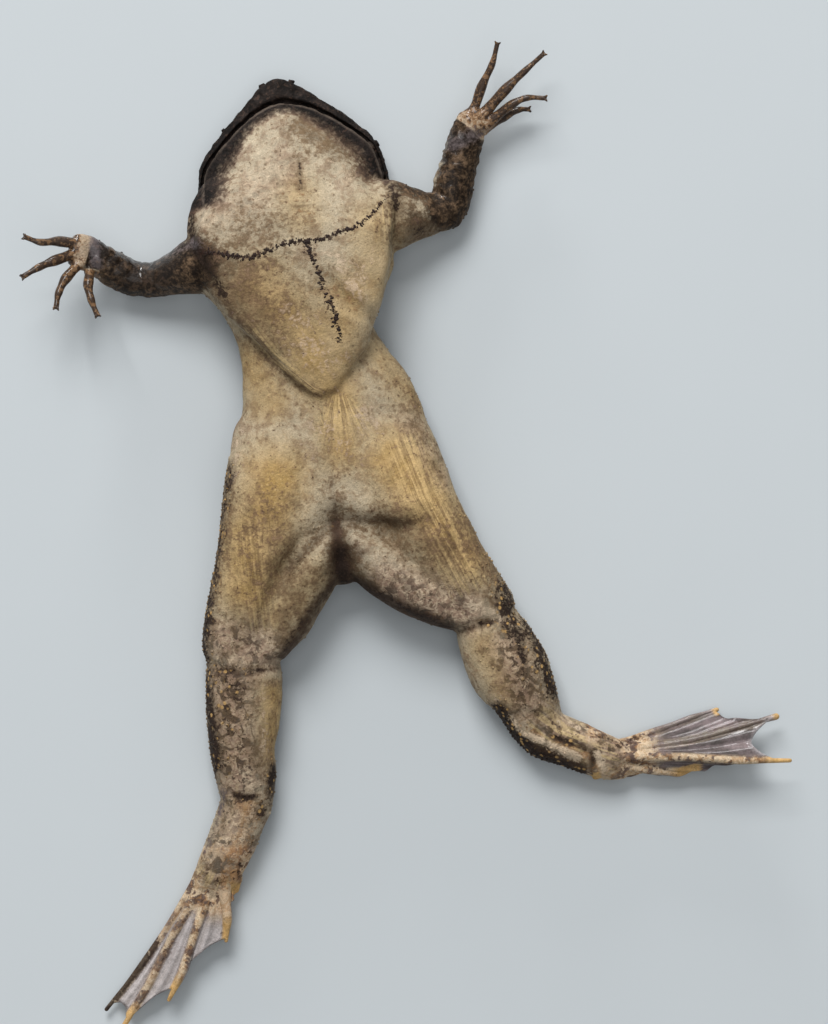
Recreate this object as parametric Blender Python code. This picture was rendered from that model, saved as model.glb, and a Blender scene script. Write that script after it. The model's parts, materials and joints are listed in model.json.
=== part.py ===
"""A life-size Surinam toad, belly up with its limbs spread, as a still museum model.

The toad lies on its back on the plane Z = 0 with its head towards +Y, so that its belly, which
carries the dark T-shaped seam, faces +Z. Its own left side is at +X. The body is modelled whole
from limbs of oval section, fused, and parted into its named pieces by thin flat cuts.
"""

import math

import bmesh
import bpy
import numpy as np
from mathutils import Matrix, Vector

MM = 0.001
UP = np.array([0.0, 0.0, 1.0])

# Driving sizes, in millimetres like every station below.
PART_GAP = 0.3
# The middle of the whole toad in the stations' own frame, which becomes the origin.
CENTRE = (1.35, -1.16, 0.0)
VOXEL = 1.0
CORE_TRIANGLES = 5600
WEB_THICKNESS = 0.8
EYE_RADIUS = 2.0
STAR_LOBES = 4
STAR_LENGTH = 1.5

# A station is (x, y, z, half width, half depth) of the oval section there.
TRUNK = [
    (-33.4, 106, 8.4, 22, 5.6),
    (-34.0, 99, 10.4, 28.6, 9.0),
    (-34.0, 88, 12.0, 30.6, 11.8),
    (-31, 74, 11.6, 27, 12.0),
    (-29.4, 60, 9.8, 20.6, 10.4),
    (-26.2, 48, 9.6, 22.9, 10.0),
    (-23.2, 38, 10.4, 27.2, 10.8),
    (-21.5, 25, 11.2, 30.5, 11.4),
    (-20.0, 12, 11.6, 30.0, 11.6),
    (-18.8, 0, 11.4, 22.0, 11.0),
    (-18.2, -7, 10.8, 10.4, 9.4),
    (-17.6, -12, 9.8, 4.6, 6.6),
]
BREAST = [
    (-33.0, 108, 8.0, 17.0, 6.0),
    (-33.0, 100, 12.4, 24.5, 9.8),
    (-32.6, 93, 15.4, 28.8, 10.4),
    (-31.8, 85, 17.6, 30.0, 10.2),
    (-28.9, 73, 18.8, 25.9, 9.4),
    (-27.0, 65, 19.2, 21.3, 8.6),
    (-25.5, 57, 19.4, 15.9, 7.4),
    (-24.9, 50.4, 19.2, 11.2, 6.0),
    (-24.2, 45.6, 18.8, 7.2, 4.8),
    (-23.4, 42.4, 18.4, 4.2, 3.8),
]
LEFT_THIGH_FRONT = [
    (-14.5, 44, 8.4, 8.0, 6.0),
    (-10.4, 35, 10.4, 13.6, 9.6),
    (-6.0, 26, 12.0, 15.2, 11.4),
    (-1.0, 15, 13.0, 15.0, 12.2),
    (5.4, 3.6, 13.2, 13.2, 12.6),
    (13.7, -9.4, 12.2, 11.6, 11.8),
    (21.0, -18.1, 10.6, 10.0, 10.4),
    (26.0, -23.6, 9.4, 8.6, 9.4),
]
LEFT_THIGH_BACK = [
    (-14.0, -2.0, 12.0, 8.5, 11.0),
    (-5.6, -9.5, 12.0, 9.5, 11.6),
    (4.0, -15.0, 11.4, 9.8, 11.0),
    (12.5, -19.5, 10.4, 9.0, 10.0),
    (18.0, -22.5, 9.4, 7.5, 9.0),
]
LEFT_SHANK = [
    (25.0, -26.5, 9.2, 9.6, 9.2),
    (28.0, -33.2, 9.6, 11.3, 9.8),
    (32.3, -41.7, 9.6, 12.0, 9.8),
    (36.2, -48.4, 8.8, 10.2, 9.0),
    (38.8, -54.2, 7.6, 8.8, 7.9),
    (40.6, -58.4, 7.0, 8.0, 7.2),
]
LEFT_TARSUS = [
    (39.6, -57.4, 7.0, 7.2, 7.0),
    (43.0, -60.4, 6.9, 7.7, 7.0),
    (47.6, -62.2, 6.5, 7.4, 6.7),
    (56.3, -65.6, 6.0, 7.0, 6.2),
    (62.0, -67.8, 5.4, 6.6, 4.8),
    (67.0, -68.6, 5.2, 5.6, 3.2),
]
RIGHT_THIGH_FRONT = [
    (-32.0, 44, 8.4, 8.0, 6.0),
    (-34.4, 34, 10.4, 12.4, 9.6),
    (-36.6, 24, 12.0, 14.4, 11.4),
    (-39.0, 12, 13.0, 14.8, 12.2),
    (-41.4, -2, 13.2, 13.8, 12.6),
    (-44.6, -16, 12.2, 12.8, 12.0),
    (-47.6, -28, 10.6, 12.2, 10.6),
    (-48.4, -35.5, 9.6, 12.0, 9.8),
]
RIGHT_THIGH_BACK = [
    (-20.0, 2.0, 12.0, 9.0, 11.0),
    (-27.0, -7.5, 12.0, 10.0, 11.6),
    (-33.0, -17.0, 11.4, 10.5, 11.0),
    (-37.5, -26.0, 10.6, 10.0, 10.0),
    (-40.5, -33.0, 9.6, 7.2, 9.2),
]
RIGHT_SHANK = [
    (-48.0, -38.5, 9.4, 11.0, 9.4),
    (-47.6, -45.0, 9.6, 11.6, 9.8),
    (-47.9, -55.0, 9.4, 11.1, 9.6),
    (-48.2, -65.4, 8.8, 9.7, 9.0),
    (-47.3, -72.6, 7.9, 9.2, 8.1),
    (-46.7, -79.0, 7.2, 8.2, 7.4),
]
RIGHT_TARSUS = [
    (-46.6, -76.0, 7.2, 7.8, 7.2),
    (-47.2, -81.0, 6.9, 7.8, 7.0),
    (-49.0, -86.0, 6.5, 7.5, 6.7),
    (-52.0, -94.0, 6.0, 7.4, 6.2),
    (-55.6, -102.0, 5.4, 6.9, 4.8),
    (-58.0, -107.6, 5.2, 6.0, 3.2),
]
LEFT_UPPER_ARM = [
    (-12.0, 93.5, 13.0, 11.0, 10.0),
    (-4.0, 95.0, 11.8, 11.0, 9.4),
    (2.5, 95.5, 9.6, 8.6, 8.2),
    (8.5, 96.0, 7.6, 6.2, 6.9),
    (13.6, 97.0, 6.2, 5.6, 6.2),
]
LEFT_FOREARM = [
    (12.8, 95.6, 5.8, 5.6, 6.0),
    (14.4, 100.2, 6.0, 5.9, 6.0),
    (15.2, 105.0, 6.6, 5.9, 5.9),
    (16.7, 110.4, 7.4, 5.5, 5.5),
    (18.2, 116.1, 8.2, 5.4, 5.0),
    (19.6, 120.6, 8.9, 5.0, 4.5),
    (20.8, 123.6, 9.4, 4.7, 4.0),
]
RIGHT_UPPER_ARM = [
    (-54.0, 83.0, 12.8, 10.0, 10.0),
    (-61.5, 80.2, 11.4, 8.8, 9.0),
    (-68.0, 78.0, 9.2, 6.6, 7.6),
    (-73.5, 76.4, 7.2, 5.4, 6.6),
    (-79.0, 76.0, 6.2, 5.2, 6.1),
]
RIGHT_FOREARM = [
    (-77.2, 75.9, 5.8, 5.0, 6.0),
    (-82.0, 76.8, 6.6, 5.3, 6.0),
    (-86.5, 79.0, 8.6, 5.4, 5.6),
    (-90.5, 81.5, 11.2, 5.2, 5.0),
    (-93.5, 83.2, 13.4, 4.8, 4.4),
]
LEFT_PALM = [
    (19.8, 121.6, 9.2, 4.6, 4.0),
    (21.6, 123.8, 9.6, 4.5, 3.0),
    (23.4, 126.0, 9.9, 4.0, 2.3),
]
RIGHT_PALM = [
    (-91.8, 82.3, 12.6, 4.9, 4.2),
    (-95.2, 83.8, 15.0, 5.4, 3.2),
    (-98.2, 84.4, 16.8, 4.8, 2.4),
]

# A digit's station is (x, y, z, radius).
LEFT_FINGERS = [
    [(20.6, 124.5, 9.6, 1.9), (23.5, 133.6, 10.5, 1.4), (26.7, 140.5, 11.4, 0.95), (28.2, 146.4, 12.0, 0.65)],
    [(23.6, 125.0, 9.9, 1.9), (30.8, 133.0, 11.5, 1.5), (36.6, 138.5, 12.4, 0.95), (42.0, 143.4, 13.0, 0.65)],
    [(25.0, 122.6, 9.6, 1.8), (32.6, 128.4, 11.4, 1.3), (37.2, 130.4, 12.0, 0.9), (42.4, 130.3, 12.2, 0.65)],
    [(24.0, 121.4, 8.6, 1.8), (30.6, 125.2, 7.4, 1.3), (34.8, 127.2, 6.9, 0.9), (37.6, 127.4, 6.6, 0.65)],
]
RIGHT_FINGERS = [
    [(-95.0, 86.0, 15.6, 2.0), (-102.4, 87.0, 19.6, 1.5), (-107.9, 86.6, 22.4, 1.0), (-112.2, 88.0, 24.0, 0.7)],
    [(-97.0, 83.8, 16.6, 2.0), (-103.9, 81.2, 20.4, 1.5), (-108.6, 79.0, 22.6, 1.05), (-112.8, 76.4, 24.0, 0.75)],
    [(-96.2, 81.2, 16.2, 1.9), (-100.6, 75.8, 19.6, 1.45), (-102.6, 71.4, 21.4, 1.05), (-103.2, 67.4, 22.6, 0.75)],
    [(-93.6, 80.4, 14.6, 1.9), (-94.0, 74.2, 17.8, 1.45), (-92.9, 69.4, 19.6, 1.05), (-91.2, 65.2, 20.6, 0.75)],
]
# Toes run from the innermost, which is the first, to the fifth.
LEFT_TOES = [
    [(62.0, -70.0, 5.6, 2.4), (60.4, -72.4, 4.4, 1.7), (58.0, -73.3, 3.0, 1.0)],
    [(60.0, -68.8, 6.4, 2.4), (76.0, -71.4, 6.0, 1.4), (83.0, -72.0, 5.2, 1.35), (88.2, -70.5, 4.4, 0.65)],
    [(60.0, -67.4, 6.8, 2.4), (84.0, -67.2, 10.0, 1.5), (101.0, -68.2, 11.0, 1.2), (116.0, -68.2, 11.0, 0.65)],
    [(61.0, -66.2, 6.2, 2.4), (85.0, -62.6, 7.0, 1.3), (100.0, -58.6, 7.0, 1.0), (112.2, -55.2, 6.6, 0.95)],
    [(62.0, -65.2, 5.2, 2.4), (76.0, -59.8, 3.4, 1.3), (86.6, -55.9, 2.6, 1.0), (94.6, -53.3, 2.2, 0.65)],
]
RIGHT_TOES = [
    [(-51.4, -99.0, 5.2, 2.4), (-50.2, -104.0, 4.4, 1.9), (-50.4, -107.4, 3.6, 1.0)],
    [(-53.6, -97.5, 6.6, 2.4), (-53.6, -108.0, 7.4, 1.9), (-52.8, -116.0, 7.2, 1.45), (-53.2, -122.6, 6.6, 0.65)],
    [(-56.0, -101.0, 6.2, 2.4), (-62.2, -119.0, 7.0, 1.6), (-66.2, -131.4, 7.2, 1.55), (-70.4, -140.4, 6.8, 0.65)],
    [(-57.8, -102.0, 5.6, 2.4), (-69.2, -121.0, 5.2, 1.4), (-76.6, -136.0, 5.2, 1.2), (-84.4, -149.0, 4.8, 0.75)],
    [(-60.2, -100.0, 4.8, 1.9), (-66.2, -111.0, 3.8, 1.2), (-78.4, -129.6, 2.8, 1.0), (-89.4, -143.6, 2.6, 0.65)],
]
# How far along its two toes each membrane reaches, and how far its free edge curves back.
LEFT_WEBS = [(0.95, 0.62, 0.10), (0.90, 0.72, 0.12), (0.92, 0.95, 0.17), (0.94, 0.98, 0.15)]
RIGHT_WEBS = [(0.90, 0.50, 0.06), (0.95, 0.68, 0.08), (0.86, 0.94, 0.07), (0.95, 0.96, 0.06)]

# The head's own frame: its origin is where the T-shaped seam forks, and its nose points along +Y.
HEAD_ORIGIN = (-30.3, 86.4)
HEAD_TURN_DEG = 9.1
HEAD_OUTLINE = [
    (-8, 24.0),
    (2, 27.4),
    (12, 29.0),
    (20, 28.6),
    (28, 26.4),
    (36, 19.8),
    (43, 11.9),
    (47.6, 6.4),
    (50.0, 2.6),
]
# The shorter and rounder lower jaw, with as many stations.
JAW_OUTLINE = [
    (-8, 22.8),
    (2, 26.4),
    (12, 28.2),
    (20, 27.7),
    (27.3, 25.7),
    (34.3, 18.8),
    (40.4, 10.8),
    (43.0, 5.0),
    (43.9, 1.8),
]
# A layer is (height at the snout, height at the neck, inset, share of the lower jaw's outline).
HEAD_LAYERS = [
    (3.2, -0.4, 15.0, 0.0),
    (3.4, 0.2, 6.0, 0.0),
    (4.4, 2.4, 1.6, 0.0),
    (6.2, 6.6, 0.0, 0.0),
    (7.5, 8.8, 0.3, 0.0),
    (8.1, 9.6, 0.5, 0.3),
    (8.9, 10.1, 0.1, 0.86),
    (7.3, 8.7, 0.2, 1.0),
    (7.5, 9.0, 1.3, 1.0),
    (9.4, 11.2, 1.0, 1.0),
    (10.5, 13.0, 2.4, 1.0),
    (10.9, 13.8, 5.0, 1.0),
]
# Skin flaps at the jaws: (x, y, z, direction in degrees, length, root radius) in the head's frame.
HEAD_FLAPS = [
    (26.0, 26.6, 7.2, 15, 1.5, 2.0),
    (27.2, 21.4, 7.0, 10, 1.2, 1.3),
    (28.0, 17.4, 7.8, 30, 0.9, 1.1),
    (28.5, 14.0, 8.2, 25, 0.9, 0.8),
    (-17.4, 37.4, 6.6, 130, 1.1, 0.9),
    (-26.8, 24.6, 6.8, 150, 0.9, 0.9),
]
NOSTRILS = [
    (-3.8, 47.6, 6.0, 108, 2.4, 1.2),
    (3.8, 47.6, 6.0, 66, 2.4, 1.2),
]
NOSTRIL_BORE = 0.4
# The soft throat between the jaws, as stations in the head's frame.
THROAT = [
    (0, -10, 9.0, 26.6, 15.6),
    (0, 0, 8.6, 26.8, 17.4),
    (0, 9, 8.2, 26.4, 16.6),
    (0, 17, 7.8, 25.0, 14.4),
    (0, 25, 7.4, 22.0, 11.6),
    (0, 32, 6.8, 16.6, 9.0),
    (0, 36.5, 6.4, 12.0, 7.2),
    (0, 39.5, 6.0, 8.0, 5.4),
]
EYE_PLACES = {"eye_left": (12.5, 31.0), "eye_right": (-12.5, 31.0)}
EYE_HEIGHT = 2.7

# Flat cuts between the pieces: (x, y, z) of the centre, direction that it faces in degrees, half width.
CUTS = [
    (-34.5, 98.0, 15, 107.5, 33.0),
    (-3.1, 95.5, 15, 6.7, 13.6),
    (-58.6, 75.6, 15, 199.3, 15.6),
    (13.8, 97.2, 10, 48.0, 9.0),
    (-79.0, 76.2, 10, 180.0, 8.5),
    (20.2, 122.4, 15, 64.0, 8.0),
    (-91.2, 82.0, 15, 190.0, 7.5),
    (-0.7, -0.9, 15, -49.7, 22.6),
    (-35.8, -1.4, 15, 234.6, 24.4),
    (23.5, -23.1, 15, -57.2, 12.6),
    (-48.3, -38.6, 15, -90.0, 14.0),
    (40.4, -57.4, 15, -44.0, 12.0),
    (-46.9, -79.0, 15, -92.0, 11.0),
    (61.4, -67.4, 15, -20.0, 10.0),
    (-55.4, -101.6, 15, -114.0, 10.0),
]
CUT_HALF_HEIGHT = 22.0

# A point inside each piece, by which the parted bodies are named.
PIECES = {
    "head": (-36, 112, 8),
    "torso": (-26, 50, 12),
    "upper_arm_left": (7, 96, 8),
    "forearm_left": (16, 110, 7),
    "hand_left": (28, 131, 10),
    "upper_arm_right": (-70, 78, 8),
    "forearm_right": (-86, 79, 9),
    "hand_right": (-101, 80, 18),
    "thigh_left": (10, -11, 12),
    "shank_left": (32, -42, 9),
    "tarsus_left": (50, -63, 6),
    "foot_left": (85, -64, 6),
    "thigh_right": (-42, -18, 12),
    "shank_right": (-48, -58, 9),
    "tarsus_right": (-51, -90, 6),
    "foot_right": (-68, -122, 5),
}
COLOURS = {
    "head": (0.50, 0.43, 0.33),
    "torso": (0.58, 0.52, 0.38),
    "arm": (0.20, 0.17, 0.13),
    "hand": (0.33, 0.22, 0.12),
    "thigh": (0.50, 0.44, 0.31),
    "shank": (0.40, 0.34, 0.26),
    "foot": (0.36, 0.29, 0.23),
    "eye": (0.02, 0.02, 0.02),
}
SKIN_ROUGHNESS = 0.55
EYE_ROUGHNESS = 0.1


def clear_scene():
    """Removes whatever the scene holds."""
    for thing in list(bpy.data.objects):
        bpy.data.objects.remove(thing, do_unlink=True)


def material_for(name):
    """The finish of a piece, by the kind of piece that its name says."""
    kinds = {"upper": "arm", "forearm": "arm", "tarsus": "foot"}
    first_word = name.split("_")[0]
    kind = kinds.get(first_word, first_word)
    found = bpy.data.materials.get(kind)
    if found is None:
        found = bpy.data.materials.new(kind)
        found.use_nodes = True
        shader = found.node_tree.nodes["Principled BSDF"]
        shader.inputs["Base Color"].default_value = (*COLOURS[kind], 1.0)
        shader.inputs["Roughness"].default_value = EYE_ROUGHNESS if kind == "eye" else SKIN_ROUGHNESS
        shader.inputs["Metallic"].default_value = 0.0
    return found


def new_object(name, points, faces):
    """A mesh object from points in millimetres, with its faces turned outwards."""
    mesh = bpy.data.meshes.new(name)
    mesh.from_pydata([tuple(point * MM) for point in np.asarray(points)], [], faces)
    shape = bmesh.new()
    shape.from_mesh(mesh)
    bmesh.ops.recalc_face_normals(shape, faces=shape.faces)
    shape.to_mesh(mesh)
    shape.free()
    made = bpy.data.objects.new(name, mesh)
    bpy.context.scene.collection.objects.link(made)
    return made


def unit(vectors):
    """Vectors of length one."""
    return vectors / np.linalg.norm(vectors, axis=-1, keepdims=True)


def smooth_curve(stations, steps):
    """A Catmull-Rom curve through the stations, with this many steps from one to the next."""
    rows = np.array(stations, float)
    padded = np.vstack([2 * rows[0] - rows[1], rows, 2 * rows[-1] - rows[-2]])
    found = []
    for index in range(1, len(rows)):
        before, start, end, after = padded[index - 1 : index + 3]
        for t in np.arange(steps) / steps:
            bend = 2 * before - 5 * start + 4 * end - after
            twist = 3 * start - before - 3 * end + after
            found.append(start + 0.5 * ((end - before) * t + bend * t**2 + twist * t**3))
    found.append(rows[-1])
    return np.array(found)


def rings_object(name, rings):
    """A closed body through rings of points, each end closed by a fan round its middle."""
    count, sides = rings.shape[:2]
    points = np.vstack([rings.reshape(-1, 3), rings[0].mean(0), rings[-1].mean(0)])
    first_pole = count * sides
    last_pole = first_pole + 1
    faces = []
    for row in range(count - 1):
        for side in range(sides):
            step = (side + 1) % sides
            here, beyond = row * sides, (row + 1) * sides
            faces.append((here + side, here + step, beyond + step, beyond + side))
    for side in range(sides):
        step = (side + 1) % sides
        end = (count - 1) * sides
        faces.append((step, side, first_pole))
        faces.append((end + side, end + step, last_pole))
    return new_object(name, points, faces)


def limb(name, stations, sides=20, steps=3, boxiness=2.0, rounding=0.7):
    """A limb of oval section along its stations, with rounded ends."""
    rows = smooth_curve(stations, steps)
    centres, widths, depths = rows[:, :3], rows[:, 3], rows[:, 4]
    along = unit(np.gradient(centres, axis=0))
    across = unit(np.cross(along, UP))
    over = np.cross(across, along)
    angles = np.arange(sides) * 2 * math.pi / sides
    wide = np.sign(np.cos(angles)) * np.abs(np.cos(angles)) ** (2 / boxiness)
    deep = np.sign(np.sin(angles)) * np.abs(np.sin(angles)) ** (2 / boxiness)

    def ring(row, push=0.0, scale=1.0):
        middle = centres[row] + along[row] * push
        sideways = across[row] * widths[row] * scale
        upwards = over[row] * depths[row] * scale
        return middle + np.outer(wide, sideways) + np.outer(deep, upwards)

    rings = [ring(row) for row in range(len(rows))]
    for turn in (math.radians(40), math.radians(72)):
        first_push = rounding * min(widths[0], depths[0]) * math.sin(turn)
        last_push = rounding * min(widths[-1], depths[-1]) * math.sin(turn)
        rings.insert(0, ring(0, -first_push, math.cos(turn)))
        rings.append(ring(-1, last_push, math.cos(turn)))
    return rings_object(name, np.array(rings))


def digit(name, stations, sides=8, steps=3):
    """A round finger or toe that ends in a rounded tip."""
    return limb(name, [(x, y, z, radius, radius) for x, y, z, radius in stations], sides, steps, rounding=1.0)


def spike(name, root, direction, length, radius, sides=5, tip_share=0.35):
    """A short tapered flap or lobe with a blunt tip, its root sunk in what it grows from."""
    direction = unit(np.array(direction, float))
    across = unit(np.cross(direction, UP + 0.1 * direction[::-1] + np.array([0.03, 0.0, 0.0])))
    over = np.cross(across, direction)
    angles = np.arange(sides) * 2 * math.pi / sides
    rings = []
    for share, width in ((0.0, 1.0), (0.55, 0.75), (1.0, tip_share)):
        middle = np.array(root, float) + direction * length * share
        rings.append(
            middle
            + np.outer(np.cos(angles), across * radius * width)
            + np.outer(np.sin(angles), over * radius * width)
        )
    return rings_object(name, np.array(rings))


def star_tip(name, stations):
    """The four-lobed star at a fingertip."""
    start, end = np.array(stations[-2][:3], float), np.array(stations[-1][:3], float)
    forward = unit(end - start)
    across = unit(np.cross(forward, UP))
    over = np.cross(across, forward)
    lobes = []
    for lobe in range(STAR_LOBES):
        angle = math.radians(45) + lobe * 2 * math.pi / STAR_LOBES
        outwards = across * math.cos(angle) + over * math.sin(angle)
        direction = forward * 0.75 + outwards
        lobes.append(spike(f"{name}_lobe_{lobe}", end - forward * 0.1, direction, STAR_LENGTH, 0.5))
    return lobes


def web(name, first, second, reach_first, reach_second, dip, across_count=5, along_count=7, start=0.06):
    """The membrane between two toes, split into triangles alike on both faces, its free edge curved back."""
    one = smooth_curve(first, 8)[:, :3]
    other = smooth_curve(second, 8)[:, :3]

    def at(curve, share):
        place = share * (len(curve) - 1)
        low = min(int(place), len(curve) - 2)
        return curve[low] + (curve[low + 1] - curve[low]) * (place - low)

    grid = np.zeros((across_count, along_count, 3))
    for i, s in enumerate(np.linspace(0, 1, across_count)):
        hollow = 4 * s * (1 - s)
        reach = reach_first * (1 - s) + reach_second * s - dip * hollow
        for j, t in enumerate(np.linspace(start, 1, along_count)):
            share = t * reach
            grid[i, j] = (1 - s) * at(one, share) + s * at(other, share)
    tangent_across = np.gradient(grid, axis=0)
    tangent_along = np.gradient(grid, axis=1)
    normals = unit(np.cross(tangent_across, tangent_along))
    half = normals * WEB_THICKNESS / 2
    points = np.vstack([(grid + half).reshape(-1, 3), (grid - half).reshape(-1, 3)])
    under = across_count * along_count
    faces = []
    for i in range(across_count - 1):
        for j in range(along_count - 1):
            a = i * along_count + j
            b, c, d = a + along_count, a + along_count + 1, a + 1
            faces += [(a, b, c), (a, c, d)]
            faces += [(a + under, c + under, b + under), (a + under, d + under, c + under)]
    rim = [i * along_count for i in range(across_count)]
    rim += [(across_count - 1) * along_count + j for j in range(1, along_count)]
    rim += [i * along_count + along_count - 1 for i in range(across_count - 2, -1, -1)]
    rim += [j for j in range(along_count - 2, 0, -1)]
    for here, beyond in zip(rim, rim[1:] + rim[:1]):
        faces += [(here, here + under, beyond + under), (here, beyond + under, beyond)]
    return new_object(name, points, faces)


def head_point(x, y, z):
    """A point of the head's own frame in the body's frame."""
    turn = math.radians(HEAD_TURN_DEG)
    return np.array(
        [
            HEAD_ORIGIN[0] + x * math.cos(turn) - y * math.sin(turn),
            HEAD_ORIGIN[1] + x * math.sin(turn) + y * math.cos(turn),
            z,
        ]
    )


def head():
    """The flat triangular head, as outlines stacked from its crown up to its throat, with the mouth as a groove."""
    upper = smooth_curve(HEAD_OUTLINE, 3)
    lower = smooth_curve(JAW_OUTLINE, 3)
    rings = []
    for z_snout, z_neck, inset, share in HEAD_LAYERS:
        outline = upper + (lower - upper) * share
        back, tip, widest = outline[0, 0], outline[-1, 0], outline[:, 1].max()
        sides = []
        for along, half in outline:
            forwards = (along - back) / (tip - back)
            y = along - inset * forwards
            z = z_neck + (z_snout - z_neck) * forwards
            sides.append((half * (1 - inset / widest), y, z))
        ring = [head_point(x, y, z) for x, y, z in sides]
        ring += [head_point(-x, y, z) for x, y, z in reversed(sides)]
        rings.append(ring)
    return rings_object("head_shell", np.array(rings))


def head_spikes(name, rows, radius_scale=1.0, tip_share=0.35, further=0.0):
    """Tapered flaps or tubes along the upper jaw."""
    made = []
    for index, (x, y, z, degrees, length, radius) in enumerate(rows):
        angle = math.radians(degrees + HEAD_TURN_DEG)
        direction = np.array([math.cos(angle), math.sin(angle), 0.0])
        root = head_point(x, y, z) + direction * (further - radius)
        size = radius * radius_scale
        made.append(spike(f"{name}_{index}", root, direction, length + radius, size, 6, tip_share))
    return made


def eye(name, x, y, radius, rings=9, sides=14):
    """A small round lidless eye in the crown."""
    centre = head_point(x, y, EYE_HEIGHT)
    polar = np.linspace(0, math.pi, rings + 2)[1:-1]
    around = np.arange(sides) * 2 * math.pi / sides
    made = []
    for angle in polar:
        flat = np.stack([np.cos(around), np.sin(around), np.zeros(sides)], axis=1) * math.sin(angle)
        made.append(centre + radius * (flat + UP * math.cos(angle)))
    return rings_object(name, np.array(made))


def settle(made):
    """Replaces an object's mesh by its mesh with the modifiers on it."""
    graph = bpy.context.evaluated_depsgraph_get()
    mesh = bpy.data.meshes.new_from_object(made.evaluated_get(graph))
    made.modifiers.clear()
    made.data = mesh


def combine(made, others, operation):
    """One Boolean with a collection of closed objects, which are then removed."""
    operands = bpy.data.collections.new("operands")
    bpy.context.scene.collection.children.link(operands)
    for other in others:
        bpy.context.scene.collection.objects.unlink(other)
        operands.objects.link(other)
    boolean = made.modifiers.new("combine", "BOOLEAN")
    boolean.operation = operation
    boolean.operand_type = "COLLECTION"
    boolean.collection = operands
    boolean.solver = "MANIFOLD"
    settle(made)
    for other in others:
        bpy.data.objects.remove(other, do_unlink=True)
    bpy.data.collections.remove(operands)


def body_core():
    """The trunk and limbs melted into one smooth body, coarsened to a sensible count of faces."""
    throat = [(*head_point(x, y, z), width, depth) for x, y, z, width, depth in THROAT]
    limbs = {
        "throat": throat,
        "left_thigh_front": LEFT_THIGH_FRONT,
        "left_thigh_back": LEFT_THIGH_BACK,
        "left_shank": LEFT_SHANK,
        "left_tarsus": LEFT_TARSUS,
        "right_thigh_front": RIGHT_THIGH_FRONT,
        "right_thigh_back": RIGHT_THIGH_BACK,
        "right_shank": RIGHT_SHANK,
        "right_tarsus": RIGHT_TARSUS,
        "left_upper_arm": LEFT_UPPER_ARM,
        "left_forearm": LEFT_FOREARM,
        "right_upper_arm": RIGHT_UPPER_ARM,
        "right_forearm": RIGHT_FOREARM,
    }
    core = limb("core", TRUNK, sides=32, boxiness=2.5)
    others = [limb(name, stations) for name, stations in limbs.items()]
    others.append(limb("breast", BREAST, sides=32, boxiness=3.2))
    combine(core, others, "UNION")
    remesh = core.modifiers.new("melt", "REMESH")
    remesh.mode = "VOXEL"
    remesh.voxel_size = VOXEL * MM
    smooth = core.modifiers.new("soften", "SMOOTH")
    smooth.factor = 0.5
    smooth.iterations = 4
    settle(core)
    coarsen = core.modifiers.new("coarsen", "DECIMATE")
    coarsen.ratio = CORE_TRIANGLES / (2 * len(core.data.polygons))
    settle(core)
    return core


def hand(side, palm, fingers):
    """A palm with four free fingers, each with its star."""
    made = [limb(f"{side}_palm", palm, sides=12, steps=2, boxiness=2.3)]
    for index, stations in enumerate(fingers):
        name = f"{side}_finger_{index + 1}"
        made.append(digit(name, stations, sides=7, steps=2))
        made += star_tip(name, stations)
    return made


def foot(side, toes, webs):
    """Five toes and the four membranes between them."""
    made = [digit(f"{side}_toe_{index + 1}", stations, steps=2) for index, stations in enumerate(toes)]
    for index, sizes in enumerate(webs):
        made.append(web(f"{side}_web_{index + 1}", toes[index], toes[index + 1], *sizes))
    return made


def cutter(name, x, y, z, degrees, half_width):
    """A thin upright slab that parts one limb."""
    angle = math.radians(degrees)
    facing = np.array([math.cos(angle), math.sin(angle), 0.0]) * PART_GAP / 2
    along = np.array([-math.sin(angle), math.cos(angle), 0.0]) * half_width
    upright = UP * CUT_HALF_HEIGHT
    centre = np.array([x, y, z], float)
    corners = [
        centre + side * along + face * facing + height * upright
        for height in (-1, 1)
        for face, side in ((-1, -1), (1, -1), (1, 1), (-1, 1))
    ]
    faces = [(0, 3, 2, 1), (4, 5, 6, 7), (0, 1, 5, 4), (1, 2, 6, 5), (2, 3, 7, 6), (3, 0, 4, 7)]
    return new_object(name, corners, faces)


def rest_on_floor(made):
    """Presses whatever lies under Z = 0 flat onto it."""
    for vertex in made.data.vertices:
        vertex.co.z = max(vertex.co.z, 0.0)


def islands(made):
    """The separate closed bodies of a mesh, each as its points and its faces."""
    shape = bmesh.new()
    shape.from_mesh(made.data)
    bmesh.ops.triangulate(shape, faces=shape.faces)
    waiting = set(shape.verts)
    found = []
    while waiting:
        stack = [waiting.pop()]
        body = list(stack)
        while stack:
            for edge in stack.pop().link_edges:
                for vertex in edge.verts:
                    if vertex in waiting:
                        waiting.remove(vertex)
                        stack.append(vertex)
                        body.append(vertex)
        body.sort(key=lambda vertex: vertex.index)
        place = {vertex: index for index, vertex in enumerate(body)}
        faces = {face for vertex in body for face in vertex.link_faces}
        ordered = sorted(faces, key=lambda face: face.index)
        found.append(
            (
                np.array([vertex.co for vertex in body]) / MM,
                [tuple(place[vertex] for vertex in face.verts) for face in ordered],
            )
        )
    shape.free()
    return found


def part_body(whole):
    """Cuts the whole body at its joints and names the pieces by the points inside them."""
    cutters = [cutter(f"cut_{index}", *sizes) for index, sizes in enumerate(CUTS)]
    combine(whole, cutters, "DIFFERENCE")
    pieces = {}
    for points, faces in islands(whole):
        middle = points.mean(0)
        name = min(PIECES, key=lambda piece: np.linalg.norm(middle - np.array(PIECES[piece])))
        if name not in pieces or len(points) > len(pieces[name][0]):
            pieces[name] = (points, faces)
    bpy.data.objects.remove(whole, do_unlink=True)
    return [new_object(name, points, faces) for name, (points, faces) in pieces.items()]


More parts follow.
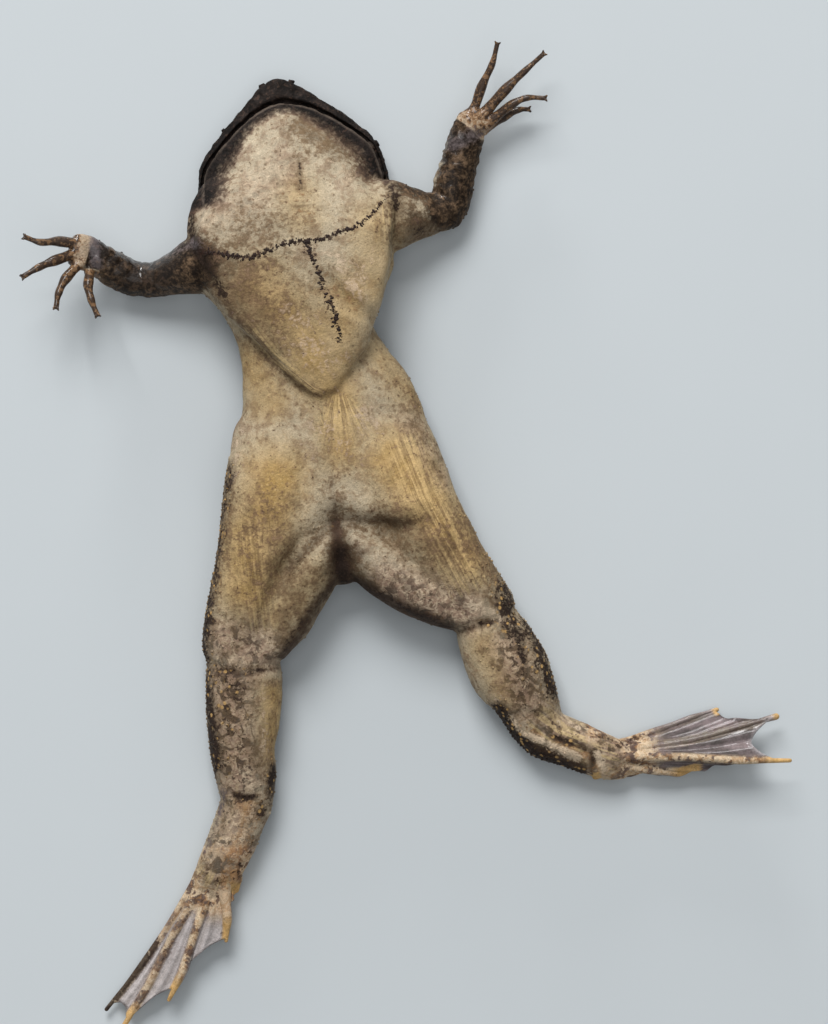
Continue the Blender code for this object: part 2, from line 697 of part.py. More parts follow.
def main():
    """Builds every named piece of the toad."""
    clear_scene()
    whole = body_core()
    extras = [head(), *head_spikes("flap", HEAD_FLAPS), *head_spikes("nostril", NOSTRILS, tip_share=0.75)]
    extras += hand("left", LEFT_PALM, LEFT_FINGERS)
    extras += hand("right", RIGHT_PALM, RIGHT_FINGERS)
    extras += foot("left", LEFT_TOES, LEFT_WEBS)
    extras += foot("right", RIGHT_TOES, RIGHT_WEBS)
    combine(whole, extras, "UNION")
    rest_on_floor(whole)
    hollows = [eye(f"{name}_socket", x, y, EYE_RADIUS + PART_GAP) for name, (x, y) in EYE_PLACES.items()]
    hollows += head_spikes("bore", NOSTRILS, NOSTRIL_BORE, tip_share=1.0, further=1.2)
    combine(whole, hollows, "DIFFERENCE")
    nodes = part_body(whole)
    nodes += [eye(name, x, y, EYE_RADIUS) for name, (x, y) in EYE_PLACES.items()]
    to_origin = Matrix.Translation(-Vector(CENTRE) * MM)
    for node in nodes:
        node.data.transform(to_origin)
        node.data.materials.clear()
        node.data.materials.append(material_for(node.name))
        node.data.shade_smooth()


main()
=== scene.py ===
"""The looks of a life-size Surinam toad that lies belly up: one skin, its tubercles, its seam and its eyes.

The skin is modelled again from the same stations as the solids, on a finer grid, and then shaped by
creases, folds and tendons. Soft strokes along named lines say where each colour of the skin lies.
"""

import json
import math

import bmesh
import bpy
import numpy as np
from bpy.props import FloatProperty, FloatVectorProperty, IntProperty, PointerProperty
from mathutils import Matrix, Vector, noise
from mathutils.bvhtree import BVHTree
from mathutils.geometry import barycentric_transform

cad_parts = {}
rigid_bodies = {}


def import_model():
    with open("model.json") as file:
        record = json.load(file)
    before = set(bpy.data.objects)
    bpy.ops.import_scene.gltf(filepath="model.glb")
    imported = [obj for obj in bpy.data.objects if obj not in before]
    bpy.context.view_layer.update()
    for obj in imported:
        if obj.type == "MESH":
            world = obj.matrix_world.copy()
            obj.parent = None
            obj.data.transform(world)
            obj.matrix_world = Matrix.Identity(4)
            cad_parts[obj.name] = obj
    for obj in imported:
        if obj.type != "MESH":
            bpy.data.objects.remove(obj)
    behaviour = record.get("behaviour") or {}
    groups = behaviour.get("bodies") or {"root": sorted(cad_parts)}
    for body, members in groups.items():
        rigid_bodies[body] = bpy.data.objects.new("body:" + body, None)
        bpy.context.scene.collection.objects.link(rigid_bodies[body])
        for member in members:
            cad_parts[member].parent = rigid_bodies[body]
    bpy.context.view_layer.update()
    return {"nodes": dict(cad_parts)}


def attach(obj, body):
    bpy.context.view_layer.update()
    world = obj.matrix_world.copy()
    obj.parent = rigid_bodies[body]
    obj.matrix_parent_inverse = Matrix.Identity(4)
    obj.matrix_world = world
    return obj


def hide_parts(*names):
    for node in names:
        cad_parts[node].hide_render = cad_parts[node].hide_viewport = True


bl_info = {
    "name": "Surinam toad",
    "version": (1, 0, 0),
    "blender": (4, 5, 0),
    "location": "3D View > Sidebar > Toad",
    "description": "Dresses the solids of a Surinam toad in skin",
    "category": "Object",
}

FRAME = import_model()

MM = 0.001
UP = np.array([0.0, 0.0, 1.0])
# The middle of the whole toad in the stations' own frame, which is the origin of the solids.
CENTRE = (1.35, -1.16, 0.0)
EYE_RADIUS = 2.0
SOCKET_GAP = 0.15
STAR_LOBES = 4
STAR_LENGTH = 1.5
FLESH = [name for name in FRAME["nodes"] if not name.startswith("eye_")]

# A station is (x, y, z, half width, half depth) of the oval section there.
TRUNK = [
    (-33.4, 106, 8.4, 22, 5.6),
    (-34, 99, 10.4, 28.6, 9),
    (-34, 88, 12, 30.6, 11.8),
    (-31, 74, 11.6, 27, 12),
    (-29.4, 60, 9.8, 20.6, 10.4),
    (-26.2, 48, 9.6, 22.9, 10),
    (-23.2, 38, 10.4, 27.2, 10.8),
    (-21.5, 25, 11.2, 30.5, 11.4),
    (-20, 12, 11.6, 30, 11.6),
    (-18.8, 0, 11.4, 22, 11),
    (-18.2, -7, 10.8, 10.4, 9.4),
    (-17.6, -12, 9.8, 4.6, 6.6),
]
BREAST = [
    (-33, 108, 8, 17, 6),
    (-33, 100, 12.4, 24.5, 9.8),
    (-32.6, 93, 15.4, 28.8, 10.4),
    (-31.8, 85, 17.6, 30, 10.2),
    (-28.9, 73, 18.8, 25.9, 9.4),
    (-27, 65, 19.2, 21.3, 8.6),
    (-25.5, 57, 19.4, 15.9, 7.4),
    (-24.9, 50.4, 19.2, 11.2, 6),
    (-24.2, 45.6, 18.8, 7.2, 4.8),
    (-23.4, 42.4, 18.4, 4.2, 3.8),
]
LEFT_THIGH_FRONT = [
    (-14.5, 44, 8.4, 8, 6),
    (-10.4, 35, 10.4, 13.6, 9.6),
    (-6, 26, 12, 15.2, 11.4),
    (-1, 15, 13, 15, 12.2),
    (5.4, 3.6, 13.2, 13.2, 12.6),
    (13.7, -9.4, 12.2, 11.6, 11.8),
    (21, -18.1, 10.6, 10, 10.4),
    (26, -23.6, 9.4, 8.6, 9.4),
]
LEFT_THIGH_BACK = [
    (-14, -2, 12, 8.5, 11),
    (-5.6, -9.5, 12, 9.5, 11.6),
    (4, -15, 11.4, 9.8, 11),
    (12.5, -19.5, 10.4, 9, 10),
    (18, -22.5, 9.4, 7.5, 9),
]
LEFT_SHANK = [
    (25, -26.5, 9.2, 9.6, 9.2),
    (28, -33.2, 9.6, 11.3, 9.8),
    (32.3, -41.7, 9.6, 12, 9.8),
    (36.2, -48.4, 8.8, 10.2, 9),
    (38.8, -54.2, 7.6, 8.8, 7.9),
    (40.6, -58.4, 7, 8, 7.2),
]
LEFT_TARSUS = [
    (39.6, -57.4, 7, 7.2, 7),
    (43, -60.4, 6.9, 7.7, 7),
    (47.6, -62.2, 6.5, 7.4, 6.7),
    (56.3, -65.6, 6, 7, 6.2),
    (62, -67.8, 5.4, 6.6, 4.8),
    (67, -68.6, 5.2, 5.6, 3.2),
]
RIGHT_THIGH_FRONT = [
    (-32, 44, 8.4, 8, 6),
    (-34.4, 34, 10.4, 12.4, 9.6),
    (-36.6, 24, 12, 14.4, 11.4),
    (-39, 12, 13, 14.8, 12.2),
    (-41.4, -2, 13.2, 13.8, 12.6),
    (-44.6, -16, 12.2, 12.8, 12),
    (-47.6, -28, 10.6, 12.2, 10.6),
    (-48.4, -35.5, 9.6, 12, 9.8),
]
RIGHT_THIGH_BACK = [
    (-20, 2, 12, 9, 11),
    (-27, -7.5, 12, 10, 11.6),
    (-33, -17, 11.4, 10.5, 11),
    (-37.5, -26, 10.6, 10, 10),
    (-40.5, -33, 9.6, 7.2, 9.2),
]
RIGHT_SHANK = [
    (-48, -38.5, 9.4, 11, 9.4),
    (-47.6, -45, 9.6, 11.6, 9.8),
    (-47.9, -55, 9.4, 11.1, 9.6),
    (-48.2, -65.4, 8.8, 9.7, 9),
    (-47.3, -72.6, 7.9, 9.2, 8.1),
    (-46.7, -79, 7.2, 8.2, 7.4),
]
RIGHT_TARSUS = [
    (-46.6, -76, 7.2, 7.8, 7.2),
    (-47.2, -81, 6.9, 7.8, 7),
    (-49, -86, 6.5, 7.5, 6.7),
    (-52, -94, 6, 7.4, 6.2),
    (-55.6, -102, 5.4, 6.9, 4.8),
    (-58, -107.6, 5.2, 6, 3.2),
]
LEFT_UPPER_ARM = [
    (-12, 93.5, 13, 11, 10),
    (-4, 95, 11.8, 11, 9.4),
    (2.5, 95.5, 9.6, 8.6, 8.2),
    (8.5, 96, 7.6, 6.2, 6.9),
    (13.6, 97, 6.2, 5.6, 6.2),
]
LEFT_FOREARM = [
    (12.8, 95.6, 5.8, 5.6, 6),
    (14.4, 100.2, 6, 5.9, 6),
    (15.2, 105, 6.6, 5.9, 5.9),
    (16.7, 110.4, 7.4, 5.5, 5.5),
    (18.2, 116.1, 8.2, 5.4, 5),
    (19.6, 120.6, 8.9, 5, 4.5),
    (20.8, 123.6, 9.4, 4.7, 4),
]
RIGHT_UPPER_ARM = [
    (-54, 83, 12.8, 10, 10),
    (-61.5, 80.2, 11.4, 8.8, 9),
    (-68, 78, 9.2, 6.6, 7.6),
    (-73.5, 76.4, 7.2, 5.4, 6.6),
    (-79, 76, 6.2, 5.2, 6.1),
]
RIGHT_FOREARM = [
    (-77.2, 75.9, 5.8, 5, 6),
    (-82, 76.8, 6.6, 5.3, 6),
    (-86.5, 79, 8.6, 5.4, 5.6),
    (-90.5, 81.5, 11.2, 5.2, 5),
    (-93.5, 83.2, 13.4, 4.8, 4.4),
]
LEFT_PALM = [
    (19.8, 121.6, 9.2, 4.6, 4),
    (21.6, 123.8, 9.6, 4.4, 2.9),
    (23.2, 125.6, 9.9, 3.8, 2.1),
]
RIGHT_PALM = [
    (-91.8, 82.3, 12.6, 4.9, 4.2),
    (-95.2, 83.8, 15, 5.4, 3.2),
    (-98.2, 84.4, 16.8, 4.8, 2.4),
]

# A digit's station is (x, y, z, radius).
LEFT_FINGERS = [
    [(20.6, 124.5, 9.6, 1.9), (23.5, 133.6, 10.5, 1.4), (26.7, 140.5, 11.4, 0.95), (28.2, 146.4, 12, 0.65)],
    [(23.6, 125, 9.9, 1.9), (30.8, 133, 11.5, 1.5), (36.6, 138.5, 12.4, 0.95), (42, 143.4, 13, 0.65)],
    [(25, 122.6, 9.6, 1.8), (32.6, 128.4, 11.4, 1.3), (37.2, 130.4, 12, 0.9), (42.4, 130.3, 12.2, 0.65)],
    [(24, 121.4, 8.6, 1.8), (30.6, 125.2, 7.4, 1.3), (34.8, 127.2, 6.9, 0.9), (37.6, 127.4, 6.6, 0.65)],
]
RIGHT_FINGERS = [
    [(-95, 86, 15.6, 2), (-102.4, 87, 19.6, 1.5), (-107.9, 86.6, 22.4, 1), (-112.2, 88, 24, 0.7)],
    [(-97, 83.8, 16.6, 2), (-103.9, 81.2, 20.4, 1.5), (-108.6, 79, 22.6, 1.05), (-112.8, 76.4, 24, 0.75)],
    [
        (-96.2, 81.2, 16.2, 1.9), (-100.6, 75.8, 19.6, 1.45),
        (-102.6, 71.4, 21.4, 1.05), (-103.2, 67.4, 22.6, 0.75),
    ],
    [(-93.6, 80.4, 14.6, 1.9), (-94, 74.2, 17.8, 1.45), (-92.9, 69.4, 19.6, 1.05), (-91.2, 65.2, 20.6, 0.75)],
]
# Toes run from the innermost, which is the first, to the fifth.
LEFT_TOES = [
    [(62, -70, 5.6, 2.4), (60.4, -72.4, 4.4, 1.7), (58, -73.3, 3, 1)],
    [(60, -68.8, 6.4, 2.2), (76, -71.4, 6, 1.3), (83, -72, 5.2, 1.3), (88.2, -70.5, 4.4, 0.6)],
    [(60, -67.4, 6.8, 2.2), (84, -67.2, 10, 1.3), (101, -68.2, 11, 1.1), (116, -68.2, 11, 0.55)],
    [(61, -66.2, 6.2, 2.2), (85, -62.6, 7, 1.1), (100, -58.6, 7, 0.9), (112.2, -55.2, 6.6, 0.9)],
    [(62, -65.2, 5.2, 2.2), (76, -59.8, 3.4, 1.1), (86.6, -55.9, 2.6, 0.9), (94.6, -53.3, 2.2, 0.6)],
]
RIGHT_TOES = [
    [(-51.4, -99, 5.2, 2.4), (-50.2, -104, 4.4, 1.9), (-50.4, -107.4, 3.6, 1)],
    [(-53.6, -97.5, 6.6, 2.4), (-53.6, -108, 7.4, 1.9), (-52.8, -116, 7.2, 1.4), (-53.2, -122.6, 6.6, 0.5)],
    [(-56, -101, 6.2, 2.4), (-62.2, -119, 7, 1.5), (-66.2, -131.4, 7.2, 1.55), (-70.4, -140.4, 6.8, 0.5)],
    [(-57.8, -102, 5.6, 2.4), (-69.2, -121, 5.2, 1.3), (-76.6, -136, 5.2, 1.1), (-84.4, -149, 4.8, 0.7)],
    [(-60.2, -100, 4.8, 1.7), (-66.2, -111, 3.8, 1), (-78.4, -129.6, 2.8, 0.85), (-89.4, -143.6, 2.6, 0.55)],
]
# How far along its two toes each membrane reaches, and how far its free edge curves back.
LEFT_WEBS = [(0.95, 0.62, 0.10), (0.90, 0.72, 0.12), (0.92, 0.95, 0.17), (0.94, 0.98, 0.15)]
RIGHT_WEBS = [(0.90, 0.50, 0.06), (0.95, 0.68, 0.08), (0.86, 0.94, 0.07), (0.95, 0.96, 0.06)]

# The head's own frame: its origin is where the T-shaped seam forks, and its nose points along +Y.
HEAD_ORIGIN = (-30.3, 86.4)
HEAD_TURN_DEG = 9.1
HEAD_OUTLINE = [
    (-8, 24),
    (2, 27.4),
    (12, 29),
    (20, 28.6),
    (28, 26.4),
    (36, 19.8),
    (43, 11.9),
    (47.6, 6.4),
    (50, 2.6),
]
# The shorter and rounder lower jaw, with as many stations.
JAW_OUTLINE = [
    (-8, 22.8),
    (2, 26.4),
    (12, 28.2),
    (20, 27.7),
    (27.3, 25.7),
    (34.3, 18.8),
    (40.4, 10.8),
    (43, 5),
    (43.9, 1.8),
]
# The last station of each outline, next to the middle of the snout.
HEAD_TIP = (50.6, 0.6)
JAW_TIP = (44.2, 0.4)
# A layer is (height at the snout, height at the neck, inset, share of the lower jaw's outline).
HEAD_LAYERS = [
    (3.2, -0.4, 15, 0),
    (3.4, 0.2, 6, 0),
    (4.4, 2.4, 1.6, 0),
    (6.2, 6.6, 0, 0),
    (7.5, 8.8, 0.3, 0),
    (8.1, 9.6, 0.5, 0.3),
    (8.9, 10.1, 0.1, 0.86),
    (7.3, 8.7, 0.2, 1),
    (7.5, 9, 1.3, 1),
    (9.4, 11.2, 1, 1),
    (10.5, 13, 2.4, 1),
    (10.9, 13.8, 5, 1),
]
# Skin flaps at the jaws: (x, y, z, direction in degrees, length, root radius) in the head's frame.
HEAD_FLAPS = [
    (26, 26.6, 7.2, 15, 1.5, 2.1),
    (27.2, 21.4, 7, 10, 1.2, 1.3),
    (28, 17.4, 7.8, 30, 0.9, 1.1),
    (28.5, 14, 8.2, 25, 0.8, 0.8),
    (-17.4, 37.4, 6.6, 130, 1.1, 0.9),
    (-26.8, 24.6, 6.8, 150, 0.9, 0.9),
]
NOSTRILS = [
    (-3.8, 47.6, 6, 108, 2.4, 1.2),
    (3.8, 47.6, 6, 66, 2.4, 1.2),
]
NOSTRIL_BORE = 0.4
# The soft throat between the jaws, as stations in the head's frame.
THROAT = [
    (0, -10, 9, 26.6, 15.6),
    (0, 0, 8.6, 26.8, 17.4),
    (0, 9, 8.2, 26.4, 16.6),
    (0, 17, 7.8, 25, 14.4),
    (0, 25, 7.4, 22, 11.6),
    (0, 32, 6.8, 16.6, 9),
    (0, 36.5, 6.4, 12, 7.2),
    (0, 39.5, 6, 8, 5.4),
]
EYE_PLACES = {"eye_left": (12.5, 31), "eye_right": (-12.5, 31)}
EYE_HEIGHT = 2.7

# The T-shaped seam: the bar across the chest, and the stem down it.
SEAM_BAR = [(-60.3, 83.7), (-54.9, 83.1), (-48.6, 81.9), (-43.8, 82.5), (-38.1, 84.6), (-31.5, 86.7)]
SEAM_BAR += [(-29.7, 86.7), (-24.9, 87), (-20.4, 88.5), (-14.4, 90.9), (-9.6, 94.2), (-5.1, 99.9)]
SEAM_STEM = [(-29.7, 86.7), (-27.3, 82.2), (-24.9, 78), (-23.9, 72.7)]
SEAM_STEM += [(-21.9, 69.3), (-20.2, 64.5), (-19.2, 60.6), (-18.9, 56.2)]

# A crease is (its line, half width, depth): the skin sinks along it. A negative depth raises a ridge.
CREASES = [
    ([(-20.4, 38.4), (-20.7, 27), (-21.6, 15), (-21.3, 3.9)], 2.4, 1.3),
    ([(-21, 6), (-18.6, -4), (-17.6, -12)], 2.6, 1.5),
    ([(-21, 5.4), (-12.4, 2.4), (-2.9, 0.6), (7.5, 3)], 3, 2),
    ([(-21, 3.9), (-27, -2.1), (-33.3, -8.4), (-37.5, -15)], 2.8, 1.9),
    ([(-37.5, -15), (-41, -23), (-43, -31)], 2, 0.8),
    ([(-57, -39.6), (-52, -41.2), (-47.6, -41.5), (-42, -40.6), (-36.6, -38.8)], 1.3, 0.95),
    ([(-53, -38), (-47.6, -38.6), (-41, -37.4)], 2, -0.5),
    ([(13.7, -29), (20.1, -28.5), (24.5, -26.9), (28, -25.5)], 1.2, 0.9),
    ([(13.7, -26.4), (19.5, -25.5), (24.1, -23.8)], 1.8, -0.35),
    ([(31.5, -55), (35.1, -59.7), (41.7, -62.3), (46.5, -64.7), (52.5, -67.3)], 1.3, -0.5),
    ([(52.5, -63.9), (56.7, -65.7), (57.9, -68.7), (56.1, -72.3)], 1.2, 0.7),
    ([(29.4, -57.6), (36, -54), (44.4, -55.2)], 1.5, 0.6),
    ([(-51.5, -78), (-48, -79.4), (-43.5, -79)], 1.4, 0.9),
    ([(-48, -72), (-46, -75.5)], 3, -0.7),
    ([(-1.2, 99.5), (-1.4, 92), (-2.2, 82), (-4, 73)], 1.3, 1.2),
    ([(-60.9, 82), (-58.6, 77), (-54, 71)], 1.6, 0.9),
    ([(15.3, 121.5), (21.9, 119.1), (25.5, 120.6)], 1, 0.7),
    ([(-94.5, 88.5), (-93, 83.4), (-92.4, 77.7)], 1, 0.6),
    ([(-33.3, -46.4), (-35.3, -55), (-37, -63)], 2, -0.5),
    ([(26, -38), (31, -47), (35, -52.5)], 2.2, 0.5),
    ([(-21.6, 81.4), (-15.9, 73.7), (-6.9, 66.9)], 2.2, -0.7),
    ([(-23.5, 77), (-19.5, 71.5), (-12.2, 66), (-6, 61)], 2, 0.8),
]
# Where the skin runs in fine fibres: (line that they follow, half width, strength, mm from fibre to fibre).
FIBRES = [
    ([(-1, 30), (6, 11), (14.5, -5), (21.6, -18.4)], 6, 0.85, 1.15),
    ([(-43.9, 6), (-42.9, -10), (-40.9, -30)], 6, 0.6, 1.2),
    ([(-47.4, 63.4), (-38.4, 52.5), (-33, 47.7), (-26.7, 42.6), (-21.6, 40.5)], 2, 1, 0.9),
    ([(-33.9, 60), (-26, 48), (-21.5, 42)], 5, 0.35, 1.6),
    ([(38, -54), (46, -60.5), (58, -65.5), (68, -68.6)], 6.5, 0.85, 1.6),
    ([(-46.5, -74), (-50, -88)], 5, 0.3, 1.6),
    ([(-5, 101), (-4, 85)], 3.5, 0.5, 0.8),
    ([(-38.4, -50), (-38, -64)], 4, 0.5, 1.6),
]
# Fans of fine folds, one from the tip of the breast and one in each foot's membranes:
# (its point, its direction and half angle in degrees, from and to in mm, degrees from fibre to fibre).
FANS = [
    ((-19.5, 46), -82, 36, 3, 24, 5),
    ((50, -69), 6, 60, 14, 90, 4.4),
    ((-50, -88), -112, 60, 14, 90, 4),
]
ARMS = ((LEFT_UPPER_ARM, LEFT_FOREARM), (RIGHT_UPPER_ARM, RIGHT_FOREARM))
LIMBS = (LEFT_THIGH_FRONT, LEFT_THIGH_BACK, LEFT_SHANK, LEFT_TARSUS)
LIMBS += (RIGHT_THIGH_FRONT, RIGHT_THIGH_BACK, RIGHT_SHANK, RIGHT_TARSUS, *ARMS[0], *ARMS[1])
# Where the union of body, palms and toes is softened: (x, y, radius, rounds).
SOFT_JOINTS = [(62, -67, 9, 14), (-55.5, -101, 10, 14), (22.6, 125.4, 5, 6), (-95.6, 83.4, 5.5, 6)]
SOFT_JOINTS += [(-59, -39, 8, 12), (-2, 80, 10, 14)]

# A stroke is (its line, half width, strength), laid on the skin like an airbrush.
# Painted shade: the dark of the belly's deepest creases, in the crotch, along the groin and down the thighs'
# inner edges.
CREASE_SHADE_STROKES = [
    ([(-20.2, 4), (-19.2, -3)], 1.6, 0.45),
    ([(-18.4, -6), (-17.8, -15.5)], 3, 0.8),
    ([(-21, -12), (-14, -13.4)], 3, 0.6),
    ([(-16.4, -13.4), (-6, -18.8), (6, -25), (13.8, -28.6)], 2.2, 0.6),
    ([(-19.3, -14.3), (-26.7, -21.7), (-32.2, -28.9), (-36, -36)], 2.2, 0.5),
    ([(-20.9, 5.4), (-12.4, 2.6), (-2.9, 1)], 3, 0.3),
]
# The dark bands and blotches of flanks and legs, on which tubercles grow too; along the groin, knee and ankle
# creases they are painted shade.
FLANK_STROKES = [
    ([(-21, 3), (-27, -2.6), (-33.3, -9)], 2.6, 0.35),
    ([(7.6, 41.4), (14.2, 27.9), (18.7, 15.4), (25, 2.4), (31.6, -10.6)], 2.8, 0.62),
    ([(23, 3.9), (29.6, -9.6), (35.7, -23.1), (41.1, -35.1), (44.9, -48.1)], 3.8, 0.8),
    ([(30, -17.1), (31.7, -24), (34.1, -31.1)], 5, 0.74),
    ([(36, -34), (38.5, -44)], 4, 0.6),
    ([(23, -26.6), (27.5, -27.4)], 1.4, 0.66),
    ([(23.9, -35), (27.5, -39.5)], 2.6, 0.46),
    ([(-51.8, 18.9), (-54.8, 3.9), (-56.6, -11.1), (-58.5, -26.1)], 3.6, 0.66),
    ([(-59, -18), (-60.4, -32), (-59.4, -45), (-58.5, -56.1), (-56.6, -70.1)], 4, 0.84),
    ([(-57, -39.6), (-52, -41.2), (-47.6, -41.5), (-42, -40.6)], 1.5, 0.6),
    ([(-52.3, -43.1), (-49, -47.6)], 3.6, 0.62),
    ([(-53.3, -51.1), (-51.5, -59.1)], 3, 0.55),
    ([(-47.5, -54.1), (-48.5, -62.1)], 2.6, 0.45),
    ([(-38.6, -70.1), (-39.8, -77)], 2.2, 0.75),
    ([(-40, -80.1), (-43, -84)], 3, 0.62),
    ([(-50.5, -78.4), (-48, -79.4), (-44.5, -79)], 1.3, 0.7),
    ([(-53.4, -80.1), (-56.4, -90.1), (-60, -99)], 3.4, 0.4),
    ([(-44.4, -93.1), (-47.9, -103.1)], 3, 0.5),
    ([(28.5, -52.5), (33.3, -60.9), (39.3, -66.4), (50.1, -71.6), (56.1, -74.2)], 3, 0.95),
    ([(45.3, -60.9), (50.5, -62.9)], 1.7, 0.7),
    ([(34.5, -32), (34.7, -33.6)], 1.2, 0.95),
    ([(35.1, -35.5), (36, -38.6)], 1.3, 0.95),
    ([(39.6, -38.6), (40.4, -40.2)], 1.3, 0.9),
    ([(37.6, -31), (41, -42)], 4.5, 0.5),
    ([(-55, -44), (-54.6, -70)], 6, 0.48),
    ([(-53.7, -81), (-54.3, -91)], 2.2, 0.55),
]
# The dark edges and spots, and the wide soft painted shade, of throat, breast, arms, lower legs and feet.
SPOT_STROKES = [
    ([(-47.5, -97), (-49.5, -101)], 2.4, 0.6),
    ([(52.5, -63.9), (56.7, -65.7), (57.9, -68.7), (56.1, -72.3)], 1.2, 0.4),
    ([(41.7, -55.9), (53.7, -59.7), (64.5, -62.7)], 1.3, 0.5),
    ([(2, 90), (10.6, 91)], 4, 0.5),
    ([(-72, 77), (-82, 76)], 7, 0.5),
    ([(-60.9, 84.3), (-57.6, 78), (-53.4, 70.9)], 4, 0.62),
    ([(-3.9, 105), (-1.6, 97.4)], 3.6, 0.68),
    ([(-63.8, 101.9), (-63.5, 90), (-61.4, 84)], 2.4, 0.8),
    ([(-58.6, 109), (-57.6, 101.5)], 3, 0.9),
    ([(-31.2, 112), (-30.3, 103), (-31, 97)], 0.8, 0.66),
    ([(-30.6, 101), (-31.4, 93)], 3, 0.3),
    ([(-60, 106), (-57.8, 101.4)], 3.2, 0.85),
    ([(-47, 92.4), (-38, 90.4)], 7, 0.3),
    ([(-56, 78), (-50, 69)], 3.5, 0.4),
    ([(-53, 77.4), (-43.4, 66.9)], 8, 0.22),
    ([(-24.9, 118.4), (-18.4, 112.4)], 7, 0.26),
    ([(-52, 108), (-50, 101)], 5, 0.24),
    ([(-13.4, 105.9), (-8, 100)], 5, 0.3),
    ([(5.1, 33.9), (14.1, 15.9)], 6, 0.26),
    ([(-50.4, -20.1), (-49.9, -33.1)], 6, 0.3),
    ([(-31.9, -12.1), (-35.9, -24.1)], 6, 0.42),
    ([(-48, -44.1), (-46.9, -70.1)], 9, 0.38),
    ([(31, -36.1), (38.1, -54.1)], 8, 0.38),
    ([(-48, -84), (-55, -100)], 8, 0.36),
    ([(42, -57), (62, -65)], 6, 0.34),
    ([(-56, -104), (-62, -116)], 7, 0.4),
    ([(-31, 122), (-16, 116)], 5, 0.34),
]
DARK_STROKES = CREASE_SHADE_STROKES + FLANK_STROKES + SPOT_STROKES
# Soft brown mottling, partly painted shade: in the groin creases, under the breast's tip and where breast,
# thighs and legs round away.
BROWN_STROKES = [
    ([(0, 91), (11, 92)], 6.5, 1),
    ([(-17.4, 118.5), (-9.9, 108)], 4.5, 0.95),
    ([(-21, 3.6), (-10, 2.4), (2, 1.6), (8, 2.4)], 3.2, 0.6),
    ([(-21, 2), (-28, -4.6), (-34.4, -11), (-38.4, -18)], 3.2, 0.6),
    ([(-19.6, -1), (-18.4, -13)], 5, 0.9),
    ([(-25, -12), (-19, -9), (-9, -14)], 4.5, 0.9),
    ([(-52.4, 80.4), (-44.4, 68.4), (-38, 60)], 9, 0.95),
    ([(-45, 81), (-36, 80)], 5, 0.6),
    ([(-38, 77), (-31, 68)], 5, 0.7),
    ([(-20, 24), (-20.6, 8), (-14, 4)], 5, 0.5),
    ([(-40, 92), (-31, 94)], 7, 0.55),
    ([(-42, 4), (-42, -12)], 9, 1),
    ([(-2, 3), (14, -6)], 8, 1.2),
    ([(16, 4), (24, -12)], 6, 0.85),
    ([(-20.5, 30), (-21, 4)], 4, 0.45),
    ([(-38, 49), (-24, 38.4)], 3, 0.55),
    ([(-3, 48), (8, 20)], 4.5, 0.5),
    ([(-44, -46), (-44, -70)], 8, 0.3),
    ([(28, -34), (34, -50)], 8, 0.2),
    ([(-48.9, 93.4), (-38.9, 91.4)], 7, 0.5),
    ([(-29, 122.4), (-15.4, 115.4)], 6, 0.9),
    ([(-31.5, 114.9), (-29.5, 113.9)], 2.8, 0.6),
    ([(-30.9, 112), (-30.2, 100), (-31.6, 94)], 3.2, 0.3),
    ([(-23.9, 80.4), (-17.4, 71.9)], 5, 0.42),
    ([(-50.9, 104.4), (-47.4, 98.4)], 4, 0.3),
    ([(-40.5, -1), (-44.9, -22.1), (-52, -34)], 8, 0.4),
    ([(-28.9, -14.1), (-36.9, -28.1)], 8, 0.45),
    ([(20, -8), (26.1, -20.1)], 6, 0.4),
    ([(-51, -46), (-51.5, -68)], 6, 0.4),
    ([(36, -38), (42.1, -54.1)], 6, 0.4),
    ([(38, -63), (46, -67.4), (54.6, -70.6)], 2.8, 1),
    ([(-48.9, -80.1), (-54.9, -96.1)], 7, 0.25),
    ([(0, 94), (11, 93)], 8, 0.5),
]
OLIVE_STROKES = [
    ([(-42, 72), (-30, 58), (-22.5, 45)], 11, 0.75),
    ([(-8, 92), (-8, 72)], 9, 0.5),
    ([(-46, 52), (-40, 40)], 8, 0.6),
    ([(-6, 54), (4, 40)], 8, 0.5),
    ([(-31.5, 101), (-30, 94)], 7, 0.5),
    ([(-16, 70), (-20.5, 50)], 9, 0.6),
    ([(-2, 22), (9.1, 5.9), (19.1, -6.1)], 11, 0.85),
    ([(-38, 17), (-44.4, -2.1), (-46.4, -16.1)], 11, 0.85),
    ([(-19.3, 43.4), (-18.4, 24.9)], 8, 0.7),
    ([(-27, -14), (-38, -24)], 8, 0.5),
    ([(-39, -48), (-38.9, -66)], 5, 0.7),
    ([(24, -33), (31.9, -48)], 6, 0.55),
]
